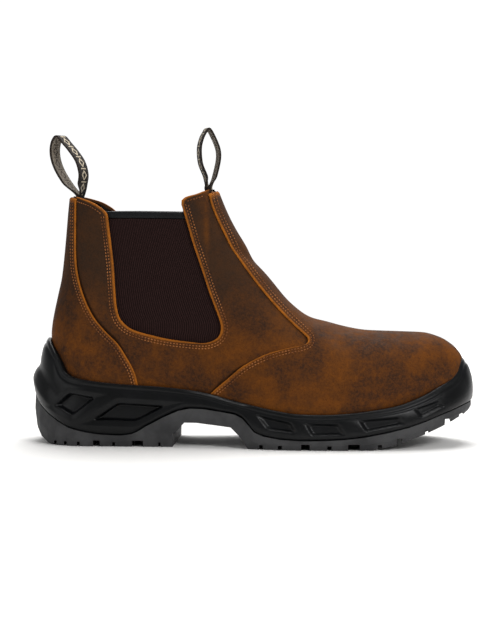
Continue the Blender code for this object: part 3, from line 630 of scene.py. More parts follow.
def makeWebbing():
    # woven tape: dark outside with a pale lozenge band, grey beige inside, dark selvedges
    look = webbingLook
    material, add, place = newMaterial("loop_webbing_woven", 0.8, 0.25)
    across = add("SeparateXYZ", [add("UVMap", uv_map="surface")])
    along = across.node.outputs[1]
    outside = add("Attribute", out="Fac", attribute_name="outside")
    side = add("Math", [across], operation="ABSOLUTE")
    # lozenges drawn as outlines with a bar between each pair; beat is the way from the middle of a repeat
    beat = add("Math", [along, 100 * look["repeat"]], **plus)
    beat = add("Math", [beat, look["repeat"]], operation="MODULO")
    beat = add("Math", [beat, look["repeat"] / 2], operation="SUBTRACT")
    beat = add("Math", [beat], operation="ABSOLUTE")
    ring = add("Math", [add("Math", [side, 0.85], **times), beat], **plus)
    lozenge = add("Math", [ring, look["outline"][0]], **over)
    lozenge = add("Math", [lozenge, add("Math", [ring, look["outline"][1]], **below)], **times)
    bar = add("Math", [beat, look["barFrom"]], **over)
    bar = add("Math", [bar, add("Math", [side, look["barReach"]], **below)], **times)
    motif = add("Math", [lozenge, bar], operation="MAXIMUM")
    motif = add("Math", [motif, add("Math", [side, look["bandReach"]], **below)], **times)
    # warp and weft as sines of the way across and along
    waves = []
    for way, spacing in ((across, look["warp"]), (along, look["weft"])):
        wave = add("Math", [way, 2 * pi / spacing], **times)
        waves.append(add("Math", [wave], operation="SINE"))
    weave = add("Math", waves, **times)
    inks = {k: linearColour(look[k]) for k in ("ground", "motif", "inside", "insideMotif", "selvedge")}
    front = add("Mix", {0: motif, 6: inks["ground"], 7: inks["motif"]}, 2, data_type="RGBA")
    faint = add("Math", [motif, 0.75], **times)
    back = add("Mix", {0: faint, 6: inks["inside"], 7: inks["insideMotif"]}, 2, data_type="RGBA")
    edge = add("MapRange", [side, *look["selvedgeAt"]], **smooth)
    back = add("Mix", {0: edge, 6: back, 7: inks["selvedge"]}, 2, data_type="RGBA")
    tone = add("Mix", {0: outside, 6: back, 7: front}, 2, data_type="RGBA")
    # painted shade in the low gaps of the weave, where the bump sinks
    layers = [(add("MapRange", [weave, -1.0, 1.0, 0.35, 0.0], **smooth), look["weaveGapShade"])]
    return finishMaterial(material, tone, layers, None, [(weave, 0.10, 0.6)])


leather = makeLeather()
cloth = makePlain("lining_cloth_woven", "#1d1a18", "#0f0d0c", 0.7, 0.9, 0.10, 0.15)
tape = makePlain("binding_tape_folded", "#0f1114", "#07080a", 0.6, 0.5, 0.06, 0.18)
thread = makePlain("thread_waxed_polyester", "#a86c3e", "#6c4024", 0.35, 0.6, 0.04, 0.06)
midRubber = makePlain("rubber_moulded_satin", "#090a0c", "#040506", 1.4, 0.34, 0.03, 0.20)
treadRubber = makePlain("rubber_tread_matt", "#454546", "#323233", 0.9, 0.66, 0.05, 0.18)
pad = makePlain("insole_fabric_felted", "#2a2826", "#191716", 0.6, 0.95, 0.12, 0.1)
goreCloth = makeGoreCloth()
webbing = makeWebbing()
print("materials made")


# Panels of the upper
panel = {
    "fold": 0.7,  # radii of the rolled edges
    "collarFold": 1.7,
    "quarterFold": 1.0,
    "tuck": 3.5,  # how far the quarters run on under vamp and counter
    "wearReach": 0.8,
    "wearMost": 0.7,
    "seamShade": 0.9,  # reach of the dark beside a seam
}
vampSeam = seamTable(shifted(sideLine(vampLine), panel["fold"]))
counterSeam = seamTable(shifted(sideLine(counterLine), -panel["fold"]))

# soft creases of the shaft's front and the instep, each a shallow furrow: x, z, length, depth
creases = np.array([(-2.0, 129.0, 16.0, 1.7), (36.5, 92.0, 18.0, 2.2), (47.0, 80.0, 16.0, 0.9)])


def creased(points, normals):
    # a furrow is a narrow bell across its line and a wide one along it
    depth = 0.0 * points[..., 0]
    for x, z, reach, deep in creases:
        dx = points[..., 0] - x
        dz = points[..., 2] - z
        alongIt = dx * 0.6 + dz * 0.8
        acrossIt = dx * 0.8 - dz * 0.6
        bell = np.exp(-((alongIt / 3.0) ** 2)) * np.exp(-((acrossIt / reach) ** 2))
        depth += deep * bell
    return points - normals * depth[..., None]


def makePanel(name, angle, v, offset, rolls, tucked=0.0):
    # rolls: (axis, end, radius) of the edges that are folded over
    points, normals = lastFrame(angle, v)
    points = creased(points + normals * offset, normals)
    bend = bendOf(points, normals)
    wear = np.zeros(points.shape[:2])
    for axis, end, radius in rolls:
        fade = edgeFade(points, panel["wearReach"], axis)
        half = fade.shape[axis] // 2
        part = [slice(None), slice(None)]
        part[axis] = slice(0, half) if end == 0 else slice(half, None)
        mask = np.zeros_like(fade)
        mask[tuple(part)] = 1
        wear = np.maximum(wear, panel["wearMost"] * fade * mask)
    for axis, end, radius in rolls:
        grid = (points, normals, wear)
        if axis == 1:
            grid = swap(grid)
        points, normals, wear = rollEdge(*grid, end, radius)
        if axis == 1:
            points, normals, wear = swap((points, normals, wear))
        before = [(0, 0), (0, 0)]
        before[axis] = (rollSteps + 1, 0) if end == 0 else (0, rollSteps + 1)
        bend = np.pad(bend, before, mode="edge")
    run = np.cumsum(np.linalg.norm(np.diff(points, axis=0, prepend=points[:1]), axis=-1), axis=0)
    # painted shadow beside the seam that the panel tucks under
    shade = np.exp(-((np.maximum(run - tucked, 0) / panel["seamShade"]) ** 2)) * (tucked > 0)
    faces = gridFaces(*points.shape[:2])
    values = {"wear": wear, "bend": bend, "shade": shade}
    return makePiece(name, points, faces, leather, values=values)


overlayRolls = [(0, -1, panel["collarFold"]), (1, 0, panel["fold"]), (1, -1, panel["fold"])]
angle, v = panelGrid(vampSeam, lambda at: 2 * pi - vampSeam(at), 170, 190, panel["collarFold"])
makePanel("vampLeather", angle, v, 0.0, overlayRolls)
angle, v = panelGrid(lambda at: -counterSeam(at), counterSeam, 130, 110, panel["collarFold"])
makePanel("counterLeather", angle, v, 0.0, overlayRolls)

goreEdge = sideLine(goreLine)
collarAndGore = np.vstack([sideLine(collarBackLine), goreEdge, sideLine(collarFrontLine)])
topEdge = shifted(collarAndGore, -panel["quarterFold"])
counterTuck = shifted(sideLine(counterLine), -panel["tuck"])
vampTuck = shifted(sideLine(vampLine), panel["tuck"])


def cutLine(line, x0, z0, x1, z1):
    # the part of a line between the points nearest to two places
    first = np.argmin(np.hypot(line[:, 0] - x0, line[:, 1] - z0))
    last = np.argmin(np.hypot(line[:, 0] - x1, line[:, 1] - z1))
    return line[first : last + 1] if first <= last else line[last : first + 1][::-1]


def places(*pairs):
    # side view points in mm from shares of the length and of the collar's height
    return [(float(alongX(a)), b * boot["collarHeight"]) for a, b in pairs]


def quarterGrid():
    # matched stretches of the inner edge (collar, gore, collar) and the outer edge (counter, feather, vamp)
    inner = places(
        (0.094, 0.963), (0.1761, 0.900), (0.2100, 0.490), (0.4330, 0.445), (0.3469, 0.927), (0.4085, 0.994)
    )
    counter = places((0.1040, 0.955), (0.1047, 0.859), (0.1600, 0.480), (0.2570, 0.127))
    front = places((0.3728, 0.125), (0.6274, 0.420), (0.4300, 0.850), (0.4030, 0.985))
    feather = np.array([[alongX(0.262), 20.0], [alongX(0.366), 20.0]])
    lower = [
        cutLine(counterTuck, *counter[2], *counter[3]),
        feather,
        cutLine(vampTuck, *front[0], *front[1]),
    ]
    outer = [
        cutLine(counterTuck, *counter[0], *counter[1]),
        cutLine(counterTuck, *counter[1], *counter[2]),
        np.vstack(lower),
        cutLine(vampTuck, *front[1], *front[2]),
        cutLine(vampTuck, *front[2], *front[3]),
    ]
    counts = (24, 70, 120, 80, 24)
    columns = []
    for k, count in enumerate(counts):
        a = evenly(cutLine(topEdge, *inner[k], *inner[k + 1]), count)
        b = evenly(outer[k], count)
        keep = slice(0, None if k == len(counts) - 1 else -1)
        columns.append((np.stack(toChart(a[keep]), -1), np.stack(toChart(b[keep]), -1)))
    edge = np.vstack([c[0] for c in columns])
    far = np.vstack([c[1] for c in columns])
    far[:, 1] = np.clip(far[:, 1], 0.0, None)
    for _ in range(3):
        far[1:-1] = (far[:-2] + far[1:-1] * 2 + far[2:]) / 4
    t = np.linspace(1, 0, 56)[:, None, None] ** 1.3
    chart = edge + (far - edge) * t
    return chart[..., 0], chart[..., 1]


angle, v = quarterGrid()
quarterRoll = [(0, -1, 1.0)]
quarterLateral = makePanel("quarterLateral", angle, v, -boot["overlapStep"], quarterRoll, 4.3)
angle, v = 2 * pi - angle[:, ::-1], v[:, ::-1]
makePanel("quarterMedial", angle, v, -boot["overlapStep"], quarterRoll, 4.3)
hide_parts("upper")
print("upper panels made")


# Lining: one sleeve inside the leather, further in behind the gores
def goreDepth(points, grow):
    # 1 over the gore and its lap, fading out over 3 mm
    x, z = points[..., 0], points[..., 2]
    left = np.interp(-z, -goreEdge[:60, 1], goreEdge[:60, 0]) - grow
    right = np.interp(z, goreEdge[150:, 1], goreEdge[150:, 0]) + grow
    low = goreFoot - grow
    inside = np.minimum(np.minimum(x - left, right - x), z - low)
    f = np.clip(inside / 3.0, 0, 1)
    return f * f * (3 - 2 * f)


columns = 300
angle = np.linspace(0, 2 * pi, columns, endpoint=False)[None, :]
height = np.linspace(0, 1, 120)[:, None] * rimAt(angle, 1.6)
angle = angle + 0 * height
points, normals = lastFrame(angle, height)
points = points - normals * (3.6 + 2.9 * goreDepth(points, 8.0))[..., None]
faces = gridFaces(120, columns, closed=True)[:, ::-1]
makePiece("lining", points, faces, cloth)
print("lining made")


# Elastic gores with their ribs, and the folded tape along their tops
gore = {"ribs": 54, "ribHeight": 0.28, "lap": 6.0, "depth": 4.0, "bindingHeight": 4.8, "bindingDepth": 5.3}


def goreGrid(z):
    # left and right edges at heights z, running on straight below the gore's rounded foot
    leftRow = goreEdge[:60]
    rightRow = goreEdge[-84:]
    left = np.interp(-z, -leftRow[:, 1], leftRow[:, 0]) - gore["lap"]
    right = np.interp(z, rightRow[:, 1], rightRow[:, 0]) + gore["lap"]
    return left, right


for word, mirrored in (("Lateral", False), ("Medial", True)):
    top = goreTop - gore["bindingHeight"] - 0.2
    z = np.linspace(goreFoot - gore["lap"], top, 60)[:, None]
    s = np.linspace(0, 1, gore["ribs"] * 6 + 1)[None, :]
    left, right = goreGrid(z)
    line = np.stack([left + (right - left) * s, z + 0 * s], axis=-1)
    angle, v = toChart(line)
    # crest is 1 on the top of each rib: it raises the rib and carries its painted highlight
    crest = 0.5 - 0.5 * np.cos(2 * pi * gore["ribs"] * s) + 0 * z
    if mirrored:
        angle, v, crest = 2 * pi - angle[:, ::-1], v[:, ::-1], crest[:, ::-1]
    points, normals = lastFrame(angle, v)
    points = points - normals * (gore["depth"] + gore["ribHeight"] * (1 - crest))[..., None]
    piece = makePiece("gore" + word, points, gridFaces(*crest.shape), goreCloth,
                      values={"crest": crest})
    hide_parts("gore_" + word.lower())

    middle = goreTop - gore["bindingHeight"] / 2
    left, right = goreGrid(np.array([middle]))
    x = np.linspace(float(left[0]), float(right[0]), 90)
    angle, v = toChart(np.column_stack([x, np.full(90, middle)]))
    if mirrored:
        angle, v = 2 * pi - angle[::-1], v[::-1]
    points, normals = lastFrame(angle, v)
    up = np.cross(normals, np.gradient(points, axis=0))
    up /= np.linalg.norm(up, axis=1, keepdims=True)
    turn = np.linspace(0, 2 * pi, 28, endpoint=False)
    a = 1.25 * np.sign(np.cos(turn)) * np.abs(np.cos(turn)) ** 0.6
    b = 2.35 * np.sign(np.sin(turn)) * np.abs(np.sin(turn)) ** 0.6
    rings = (points - normals * gore["bindingDepth"])[:, None, :] + normals[:, None, :] * a[None, :, None]
    rings = rings + up[:, None, :] * b[None, :, None]
    faces = [list(f) for f in gridFaces(90, 28, closed=True)]
    faces += [list(range(27, -1, -1)), list(range(89 * 28, 90 * 28))]
    piece = makePiece("goreBinding" + word, rings, faces, tape)
    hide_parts("gore_binding_" + word.lower())
print("gores made")


# Stitches: capsules laid along shifted seam lines, their ends dipping into the leather
stitch = {"pitch": 2.2, "length": 1.55, "radius": 0.38, "rows": (2.2, 3.9), "goreGap": 0.6, "collarGap": 3.4}


def stitchTemplate():
    # rings along the stitch: place, radius and lift as shares of its half length and radius
    half, radius = stitch["length"] / 2, stitch["radius"]
    rows = ((-0.86, 0.62, -0.55), (-0.45, 1.0, 0.25), (0.45, 1.0, 0.25), (0.86, 0.62, -0.55))
    turn = np.linspace(0, 2 * pi, 6, endpoint=False)
    body = [
        (place * half, r * radius * math.cos(t), (lift + r * math.sin(t)) * radius)
        for place, r, lift in rows
        for t in turn
    ]
    ends = [(side * half, 0, -0.9 * radius) for side in (-1, 1)]
    faces = [tuple(f) for f in gridFaces(4, 6, closed=True)]
    for k in range(6):
        faces.append((24, (k + 1) % 6, k, k))
        faces.append((25, 18 + k, 18 + (k + 1) % 6, 18 + (k + 1) % 6))
    return np.array(body + ends), np.array(faces)


def stitchRow(line, offset, mirrored):
    # even steps of true length along a side view line laid on the last
    angle, v = toChart(evenly(line, 500))
    if mirrored:
        angle = 2 * pi - angle
    points, normals = lastFrame(angle, v)
    points = creased(points + normals * offset, normals)
    run = runOf(points)
    at = np.arange(stitch["pitch"] / 2, run[-1], stitch["pitch"])
    spot = np.column_stack([np.interp(at, run, points[:, k]) for k in range(3)])
    ahead = np.column_stack([np.interp(at + 0.8, run, points[:, k]) for k in range(3)])
    behind = np.column_stack([np.interp(at - 0.8, run, points[:, k]) for k in range(3)])
    n = np.column_stack([np.interp(at, run, normals[:, k]) for k in range(3)])
    t = unit(ahead - behind)
    return spot, t, unit(n - t * np.sum(n * t, axis=1, keepdims=True))


def stretch(row, low, high):
    # the part of a line between two shares of the collar's height
    return row[(row[:, 1] < high * boot["collarHeight"]) & (row[:, 1] > low * boot["collarHeight"])]


template, templateFaces = stitchTemplate()
vampSide = sideLine(vampLine)
counterSide = sideLine(counterLine)
collarBackSide = sideLine(collarBackLine)
collarFrontSide = sideLine(collarFrontLine)
spots = []
for mirrored in (False, True):
    for distance in stitch["rows"]:
        row = stretch(shifted(vampSide, distance), 0.20, 0.985)
        spots.append(stitchRow(row, 0.0, mirrored))
        row = stretch(shifted(counterSide, -distance), 0.20, 0.950)
        spots.append(stitchRow(row, 0.0, mirrored))
        row = shifted(goreEdge, -distance - stitch["goreGap"])
        spots.append(stitchRow(row, -boot["overlapStep"], mirrored))
    # along the collar, short of the gore and of the vamp
    row = shifted(collarBackSide, -stitch["collarGap"])[14:-4]
    spots.append(stitchRow(row, -boot["overlapStep"], mirrored))
    row = shifted(collarFrontSide, -stitch["collarGap"])[4:30]
    spots.append(stitchRow(row, -boot["overlapStep"], mirrored))
spot, t, n = (np.vstack([s[k] for s in spots]) for k in range(3))
side = np.cross(n, t)
points = spot[:, None, :] + t[:, None, :] * template[None, :, 0:1]
points = points + side[:, None, :] * template[None, :, 1:2] + n[:, None, :] * template[None, :, 2:3]
faces = (templateFaces[None] + (np.arange(len(spot)) * len(template))[:, None, None]).reshape(-1, 4)
faces = [tuple(dict.fromkeys(f)) for f in faces.tolist()]
makePiece("stitches", points, faces, thread)
print("stitches laid:", len(spot))


# Sole
sole = {
    "floorEdge": 9.0,
    "footDraw": 5.0,  # how far its underside draws in
    "seatFloor": 4.5,
    "recessDepth": 2.6,
    "heelRecessDepth": 5.4,
    "recessBevel": 2.1,  # width of the sloping wall, along the forefoot and at the heel
    "heelRecessBevel": 1.1,
    "facet": 4.2,  # width of the slope round each recess
    "facetDepth": 1.0,
    "lip": 0.45,
    "gap": 0.3,
}
rimRows = np.array(
    [(0, 1.000), (8, 0.985), (15, 0.925), (22, 0.822), (27, 0.702), (32, 0.654), (39, 0.628), (52, 0.592),
     (64, 0.572), (72, 0.548), (79, 0.510), (85, 0.454), (91, 0.407), (97, 0.364), (103, 0.336), (110, 0.331),
     (117, 0.343), (125, 0.371), (133, 0.410), (142, 0.482), (151, 0.569), (161, 0.647), (166, 0.700),
     (171, 0.780), (176, 0.822), (180, 0.826)]
)
splitRows = np.array(
    [(0.000, 0.500), (0.008, 0.440), (0.020, 0.370), (0.040, 0.300), (0.062, 0.241), (0.090, 0.178),
     (0.126, 0.138), (0.168, 0.113), (0.213, 0.107), (0.236, 0.122), (0.267, 0.195), (0.306, 0.284),
     (0.341, 0.350), (0.366, 0.372), (0.395, 0.370), (0.434, 0.348), (0.468, 0.325), (0.484, 0.293),
     (0.498, 0.230), (0.511, 0.164), (0.531, 0.127), (0.570, 0.099), (0.618, 0.090), (0.666, 0.093),
     (0.714, 0.104), (0.762, 0.128), (0.810, 0.166), (0.854, 0.209), (0.893, 0.262), (0.928, 0.317),
     (0.958, 0.360), (0.985, 0.398), (1.000, 0.412)]
)
wallRows = np.array(
    [(0.00, 0.22, 0.14, 0.16), (0.08, 0.10, 0.04, 0.04), (0.24, 0.00, 0.00, 0.00), (0.38, 0.20, 0.02, 0.02),
     (0.50, 0.56, 0.05, 0.07), (0.68, 0.68, 0.12, 0.22), (0.84, 0.84, 0.22, 0.44), (1.00, 1.26, 0.42, 0.92)]
)
recesses = [
    ((0.0640, 0.385), (0.0975, 0.502), (0.1540, 0.462), (0.1050, 0.307)),
    ((0.1570, 0.262), (0.2085, 0.411), (0.3080, 0.388), (0.2480, 0.252)),
    ((0.5200, 0.322), (0.5428, 0.200), (0.6006, 0.175), (0.5923, 0.255)),
    ((0.6278, 0.252), (0.6408, 0.149), (0.7079, 0.157), (0.6977, 0.244)),
    ((0.7448, 0.283), (0.7598, 0.187), (0.8391, 0.253), (0.8325, 0.309)),
    ((0.8667, 0.383), (0.8801, 0.314), (0.9278, 0.403), (0.9220, 0.456)),
]


def soleLoop(shares, heights, heelDraw, sideDraw, toeDraw):
    # lateral side from heel to toe, then back along the medial side
    x = alongX(shares) + heelDraw * (1 - shares) ** 3 - toeDraw * shares**3
    rounding = heelRounding(shares) * toeRounding(shares)
    out = []
    for lateral, sign in ((True, -1), (False, 1)):
        y = sign * (planHalf(shares, np.full(shares.shape, lateral)) - sideDraw) * rounding
        out.append(np.column_stack([x, y + centreLine(shares), heights]))
    return np.vstack([out[0], out[1][-2:0:-1]])


def inward(loop):
    # level directions pointing into a loop
    t = np.roll(loop, -1, axis=0) - np.roll(loop, 1, axis=0)
    n = np.column_stack([-t[:, 1], t[:, 0], 0 * t[:, 0]])
    return n / np.maximum(np.linalg.norm(n, axis=1, keepdims=True), 1e-9)


def recessMask(x, z):
    # depth of the recesses over the side in mm: a slope down to each four-sided outline, then a steep wall
    total = np.zeros(x.shape)
    for outline in recesses:
        p = np.array([(alongX(a), b * boot["heelRimHeight"]) for a, b in outline])
        middle = p.mean(axis=0)
        inside = np.full(x.shape, 99.0)
        for k in range(4):
            a, b = p[k], p[(k + 1) % 4]
            n = np.array([-(b - a)[1], (b - a)[0]]) / np.linalg.norm(b - a)
            n = n if np.dot(middle - a, n) > 0 else -n
            # soft least distance rounds the corners
            d = (x - a[0]) * n[0] + (z - a[1]) * n[1]
            h = np.clip(0.5 + 0.5 * (d - inside) / 1.6, 0, 1)
            inside = d + (inside - d) * h - 1.6 * h * (1 - h)
        bevel = sole["heelRecessBevel"] if p[0, 0] < -50 else sole["recessBevel"]
        wall = np.clip(inside / bevel + 0.45, 0, 1)
        atHeel = p[0, 0] < -50
        facet = sole["facetDepth"] if atHeel else 0.3
        deep = sole["heelRecessDepth"] if atHeel else sole["recessDepth"]
        slope = np.clip(1 + inside / sole["facet"], 0, 1) * facet
        total = np.maximum(total, slope + (deep - facet) * wall)
    return total


def onUpper(points, direction, reach=14.0):
    # moves points along their directions until they meet the upper's outside
    low = np.zeros(len(points))
    high = np.full(len(points), reach)
    for _ in range(26):
        middle = (low + high) / 2
        q = points + direction * middle[:, None]
        y = q[:, 1] - centreLine(shareOf(q[:, 0]))
        inside = np.abs(y) < upperHalf(q[:, 0], q[:, 2], y < 0)
        high = np.where(inside, middle, high)
        low = np.where(inside, low, middle)
    return low


shares = (1 - np.cos(np.linspace(0, pi, 400))) / 2
foot = readTable(splitRows[:, 0], splitRows[:, 1], shares) * boot["heelRimHeight"]
core = np.minimum(foot, seatHeight(alongX(shares)) - sole["seatFloor"]) + sole["gap"]
rim = readTable(rimRows[:, 0], rimRows[:, 1], np.degrees(np.arccos(1 - 2 * shares))) * boot["heelRimHeight"]
edge = boot["rubberEdge"]
rings = [soleLoop(shares, core, *[sole["floorEdge"]] * 3)]
rings.append(soleLoop(shares, foot + sole["gap"], *[sole["footDraw"]] * 3))
ups = np.linspace(0, 1, 64)
for up in ups:
    draws = [float(readTable(wallRows[:, 0], wallRows[:, k], up)) * edge for k in (1, 2, 3)]
    rings.append(soleLoop(shares, foot + sole["gap"] + (rim - foot - sole["gap"]) * up, *draws))
rings = np.array(rings)
rounding = 0.9 * np.exp(-(((rings[2:, :, 2] - rings[2, :, 2]) / 0.9) ** 2))
under = rings[-1, :, 2] - rings[2:, :, 2]
bead = np.clip(1 - (under / 2.2) ** 4, 0, 1)
furrow = np.exp(-(((under - 3.0) / 0.7) ** 2))
lip = sole["lip"] * (bead - 0.9 * furrow)
pit = recessMask(rings[2:, :, 0], rings[2:, :, 2])
for k in range(2, len(rings)):
    rings[k] += inward(rings[k]) * (rounding + pit - lip)[k - 2][:, None]
top = rings[-1]
into = inward(top)
wide = np.maximum(onUpper(top, into) - sole["gap"], 0.5)
crownSteps = ((0.25, 0.35), (0.6, 0.4), (0.9, 0.1))
crownRing = [top + into * (wide * s)[:, None] + np.array([0, 0, h]) for s, h in crownSteps]
inner = top + into * wide[:, None]
rings = np.vstack([rings, np.array(crownRing), inner[None]])
seatLoop = soleLoop(shares, seatHeight(alongX(shares)) - sole["gap"], 6.0, 6.0, 6.0)
for share in (0.35, 0.7, 1.0):
    level = inner.copy()
    level[:, 2] += (seatLoop[:, 2] - inner[:, 2]) * share
    shrink = onUpper(level, into, 10.0) - sole["gap"]
    level += into * np.clip(shrink, -0.5, 10.0)[:, None]
    rings = np.vstack([rings, level[None]])
count = rings.shape[1]
faces = [list(f) for f in gridFaces(len(rings), count, closed=True)]
for base, flip in ((0, True), ((len(rings) - 1) * count, False)):
    half = count // 2
    cap = [[base, base + 1, base + count - 1], [base + half - 1, base + half, base + half + 1]]
    cap += [[base + i, base + i + 1, base + count - i - 1, base + count - i] for i in range(1, half - 1)]
    faces += [f[::-1] for f in cap] if flip else cap
midsole = makePiece("midsole.rubber", rings, faces, midRubber)
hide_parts("midsole")
print("midsole made")


# Outsole: the CAD solid itself, in tread rubber
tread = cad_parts["outsole"]
tread.data.materials.clear()
tread.data.materials.append(treadRubber)
print("outsole placed")


# Insole pad on the seat, with rounded edges
insole = {"inset": 4.1, "thickness": 4.0, "round": 1.6}
angle = np.linspace(0.0, pi, 160)
loops = []
for flipped in (False, True):
    points, normals = lastFrame(2 * pi - angle if flipped else angle, np.zeros(160))
    normals[:, 2] = 0
    normals /= np.maximum(np.linalg.norm(normals, axis=1, keepdims=True), 1e-9)
    loops.append(points - normals * insole["inset"])
s = np.linspace(0, 1, 40)[None, :, None]
flat = loops[0][:, None, :] * (1 - s) + loops[1][:, None, :] * s
width = np.linalg.norm(loops[1] - loops[0], axis=1)[:, None]
rimGap = np.minimum(s[..., 0], 1 - s[..., 0]) * width
drop = insole["round"] * (1 - np.sqrt(1 - (1 - np.clip(rimGap / insole["round"], 0, 1)) ** 2))
above = flat + np.stack([0 * drop, 0 * drop, insole["thickness"] - drop], axis=-1)
under = flat[:, ::-1] + np.array([0, 0, 0.05])
rings = np.concatenate([above, under], axis=1)
faces = [list(f)[::-1] for f in gridFaces(160, 80, closed=True)]
faces += [list(range(80)), list(range(160 * 80 - 1, 159 * 80 - 1, -1))]
insoleCloth = makePiece("insolePad", rings, faces, pad)
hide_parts("insole")
print("insole made")


# Pull loops: a tape carried along each loop's middle line, turned about its foot as it rises
loop = {"width": 16.0, "thickness": 1.3, "height": 43.3, "tail": 13.0, "cup": 2.2, "gap": 0.3}
rearLoop = ((-0.020, 0.000), (-0.190, 0.200), (-0.317, 0.393), (-0.388, 0.568), (-0.407, 0.727),
            (-0.378, 0.866), (-0.305, 0.945), (-0.195, 0.834), (-0.071, 0.695), (0.041, 0.534),
            (0.095, 0.341), (0.076, 0.180), (0.035, 0.030))
frontLoop = ((0.024, 0.049), (0.066, 0.178), (0.130, 0.459), (0.122, 0.639), (0.040, 0.840),
             (-0.040, 0.960), (-0.100, 0.890), (-0.150, 0.780), (-0.178, 0.627), (-0.158, 0.405),
             (-0.080, 0.207), (-0.030, 0.030))


def frontX(z):
    # x of the front edge at a height, above the toe
    return float(alongX(readTable(frontRows[4:, 1], frontRows[4:, 0], z / boot["collarHeight"])))


def makeLoop(name, node, baseZ, wall, forward, line, twist, outsideFace):
    # a tape of even width and thickness carried along its middle line, turned by twist degrees
    half = loop["thickness"] / 2
    near = boot["overlapStep"] + boot["leather"] + 2 * loop["gap"] + half
    apart = loop["thickness"] + loop["gap"]
    sign = 1 if forward > 0 else -1
    heights = (-loop["tail"], -0.5 * loop["tail"], -1.0)
    first = [(wall(baseZ + z) - sign * near, z) for z in heights]
    second = [(wall(baseZ + z) - sign * (near + apart), z) for z in heights[::-1]]
    foot = wall(baseZ) - sign * (near + 0.5 * apart)
    above = [(foot + f * loop["height"], u * loop["height"]) for f, u in line]
    path = curveThrough(first + above + second, 10)
    tangent = np.gradient(path, axis=0)
    tangent /= np.linalg.norm(tangent, axis=1)[:, None]
    run = np.concatenate([[0], np.cumsum(np.linalg.norm(np.diff(path, axis=0), axis=1))])
    lift = np.clip((path[:, 1] + 1.0) / 10.0, 0, 1)
    lift = (lift * lift * (3 - 2 * lift))[:, None]
    turn = math.radians(twist) * lift
    # tape section: two faces and two rounded selvedges, as share across and side
    across = np.linspace(-1, 1, 33)
    u = np.concatenate([across, [1.04], across[::-1], [-1.04]])[None, :]
    face = np.concatenate([np.full(33, -1.0), [0.0], np.full(33, 1.0), [0.0]])[None, :]
    thin = np.where(np.abs(u) > 0.9, 0.82, 1.0)
    f = path[:, :1] - foot + tangent[:, 1:] * face * half * thin - sign * loop["cup"] * (1 - lift) * u * u
    z = path[:, 1:] - tangent[:, :1] * face * half * thin
    w = u * (loop["width"] / 2 - 0.3)
    x = foot + f * np.cos(turn) + w * np.sin(turn)
    y = -f * np.sin(turn) + w * np.cos(turn)
    rings = np.stack([x, y, baseZ + z], axis=-1)
    rows, columns = rings.shape[:2]
    faces = [list(q) for q in gridFaces(rows, columns, closed=True)]
    faces += [list(range(columns))[::-1], list(range((rows - 1) * columns, rows * columns))]
    uv = np.stack([w + 0 * run[:, None], run[:, None] + 0 * w], axis=-1)
    outside = (face * outsideFace > 0.5) + 0.0 * run[:, None]
    piece = makePiece(name, rings, faces, webbing, uv=uv, values={"outside": outside})
    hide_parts(node)
    return piece


rearTop = collarBackLine[1, 1] * boot["collarHeight"]
frontTop = collarFrontLine[3, 1] * boot["collarHeight"]
makeLoop("pullLoopRear", "pull_loop_rear", rearTop, lambda z: float(backX(z)), -1, rearLoop, 16.0, -1)
makeLoop("pullLoopFront", "pull_loop_front", frontTop, frontX, 1, frontLoop, -14.0, 1)
print("pull loops made")


# Pale studio: floor, world, four soft lamps
studio = {
    "floor": "#f4f3f1",
    "floorRadius": 0.95,
    "behind": 1.03,
    "front": 0.30,
    # watts, size, place and target in metres
    "lamps": {
        "key": (12.0, 0.6, (0.9, -1.1, 1.0), (0.05, 0, 0.08)),
        "fill": (3.0, 1.0, (-1.2, -0.9, 0.6), (0, 0, 0.08)),
        "top": (14.0, 0.9, (0.1, 0.3, 1.4), (0, 0, 0.08)),
        "floorWash": (14.0, 1.2, (0, 1.0, 1.1), (0, 1.0, 0)),
    },
}
floorMesh = bpy.data.meshes.new("floor")
rim = np.linspace(0, 2 * pi, 96, endpoint=False)
disc = np.column_stack([np.cos(rim), np.sin(rim), 0 * rim]) * studio["floorRadius"]
floorMesh.from_pydata(disc.tolist(), [], [tuple(range(len(rim)))])
floor = bpy.data.objects.new("floor", floorMesh)
bpy.context.scene.collection.objects.link(floor)
floorLook = bpy.data.materials.new("floor_paper")
floorLook.use_nodes = True
paper = floorLook.node_tree.nodes["Principled BSDF"]
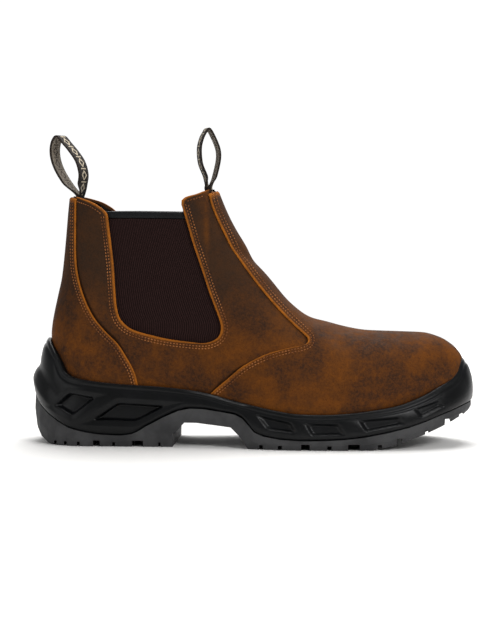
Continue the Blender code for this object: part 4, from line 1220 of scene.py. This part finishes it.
paper.inputs["Base Color"].default_value = linearColour(studio["floor"])
paper.inputs["Roughness"].default_value = 0.9
floorMesh.materials.append(floorLook)

world = bpy.data.worlds.new("studio")
world.use_nodes = True
# bright paper behind the boot, dimmer room in front of it and overhead
facing = addNode(world.node_tree, "TexCoord", out="Generated")
facing = addNode(world.node_tree, "SeparateXYZ", [facing], 1)
glow = [facing, 0.55, 0.85, studio["front"], studio["behind"]]
glow = addNode(world.node_tree, "MapRange", glow, **smooth)
world.node_tree.nodes["Background"].inputs["Color"].default_value = (1, 1, 1, 1)
world.node_tree.links.new(glow, world.node_tree.nodes["Background"].inputs["Strength"])
bpy.context.scene.world = world
bpy.context.scene.view_settings.view_transform = "Standard"


def softLamp(name, power, size, place, target):
    # a round area lamp at a place, aimed at its target
    lamp = bpy.data.lights.new(name, "AREA")
    lamp.shape = "DISK"
    lamp.energy = power
    lamp.size = size
    holder = bpy.data.objects.new(name, lamp)
    bpy.context.scene.collection.objects.link(holder)
    holder.location = place
    holder.rotation_euler = (Vector(target) - Vector(place)).to_track_quat("-Z", "Y").to_euler()


for name, lamp in studio["lamps"].items():
    softLamp(name, *lamp)

# Camera: low, square on to the outer side
shot = {
    "azimuth": 3.0,
    "elevation": 3.2,
    "distance": 1.4,
    "target": (-0.00193, 0.0, 0.08962),
    "roll": 0.184,
    "lens": 116.185,
}
az = math.radians(shot["azimuth"])
el = math.radians(shot["elevation"])
away = Vector((math.sin(az) * math.cos(el), -math.cos(az) * math.cos(el), math.sin(el)))
cameraData = bpy.data.cameras.new("camera")
cameraData.lens = shot["lens"]
cameraData.sensor_width = 36.0
camera = bpy.data.objects.new("camera", cameraData)
bpy.context.scene.collection.objects.link(camera)
camera.location = Vector(shot["target"]) + away * shot["distance"]
turned = (-away).to_track_quat("-Z", "Y") @ Quaternion((0, 0, 1), math.radians(shot["roll"]))
camera.rotation_mode = "QUATERNION"
camera.rotation_quaternion = turned
bpy.context.scene.camera = camera
print("stage and camera set")
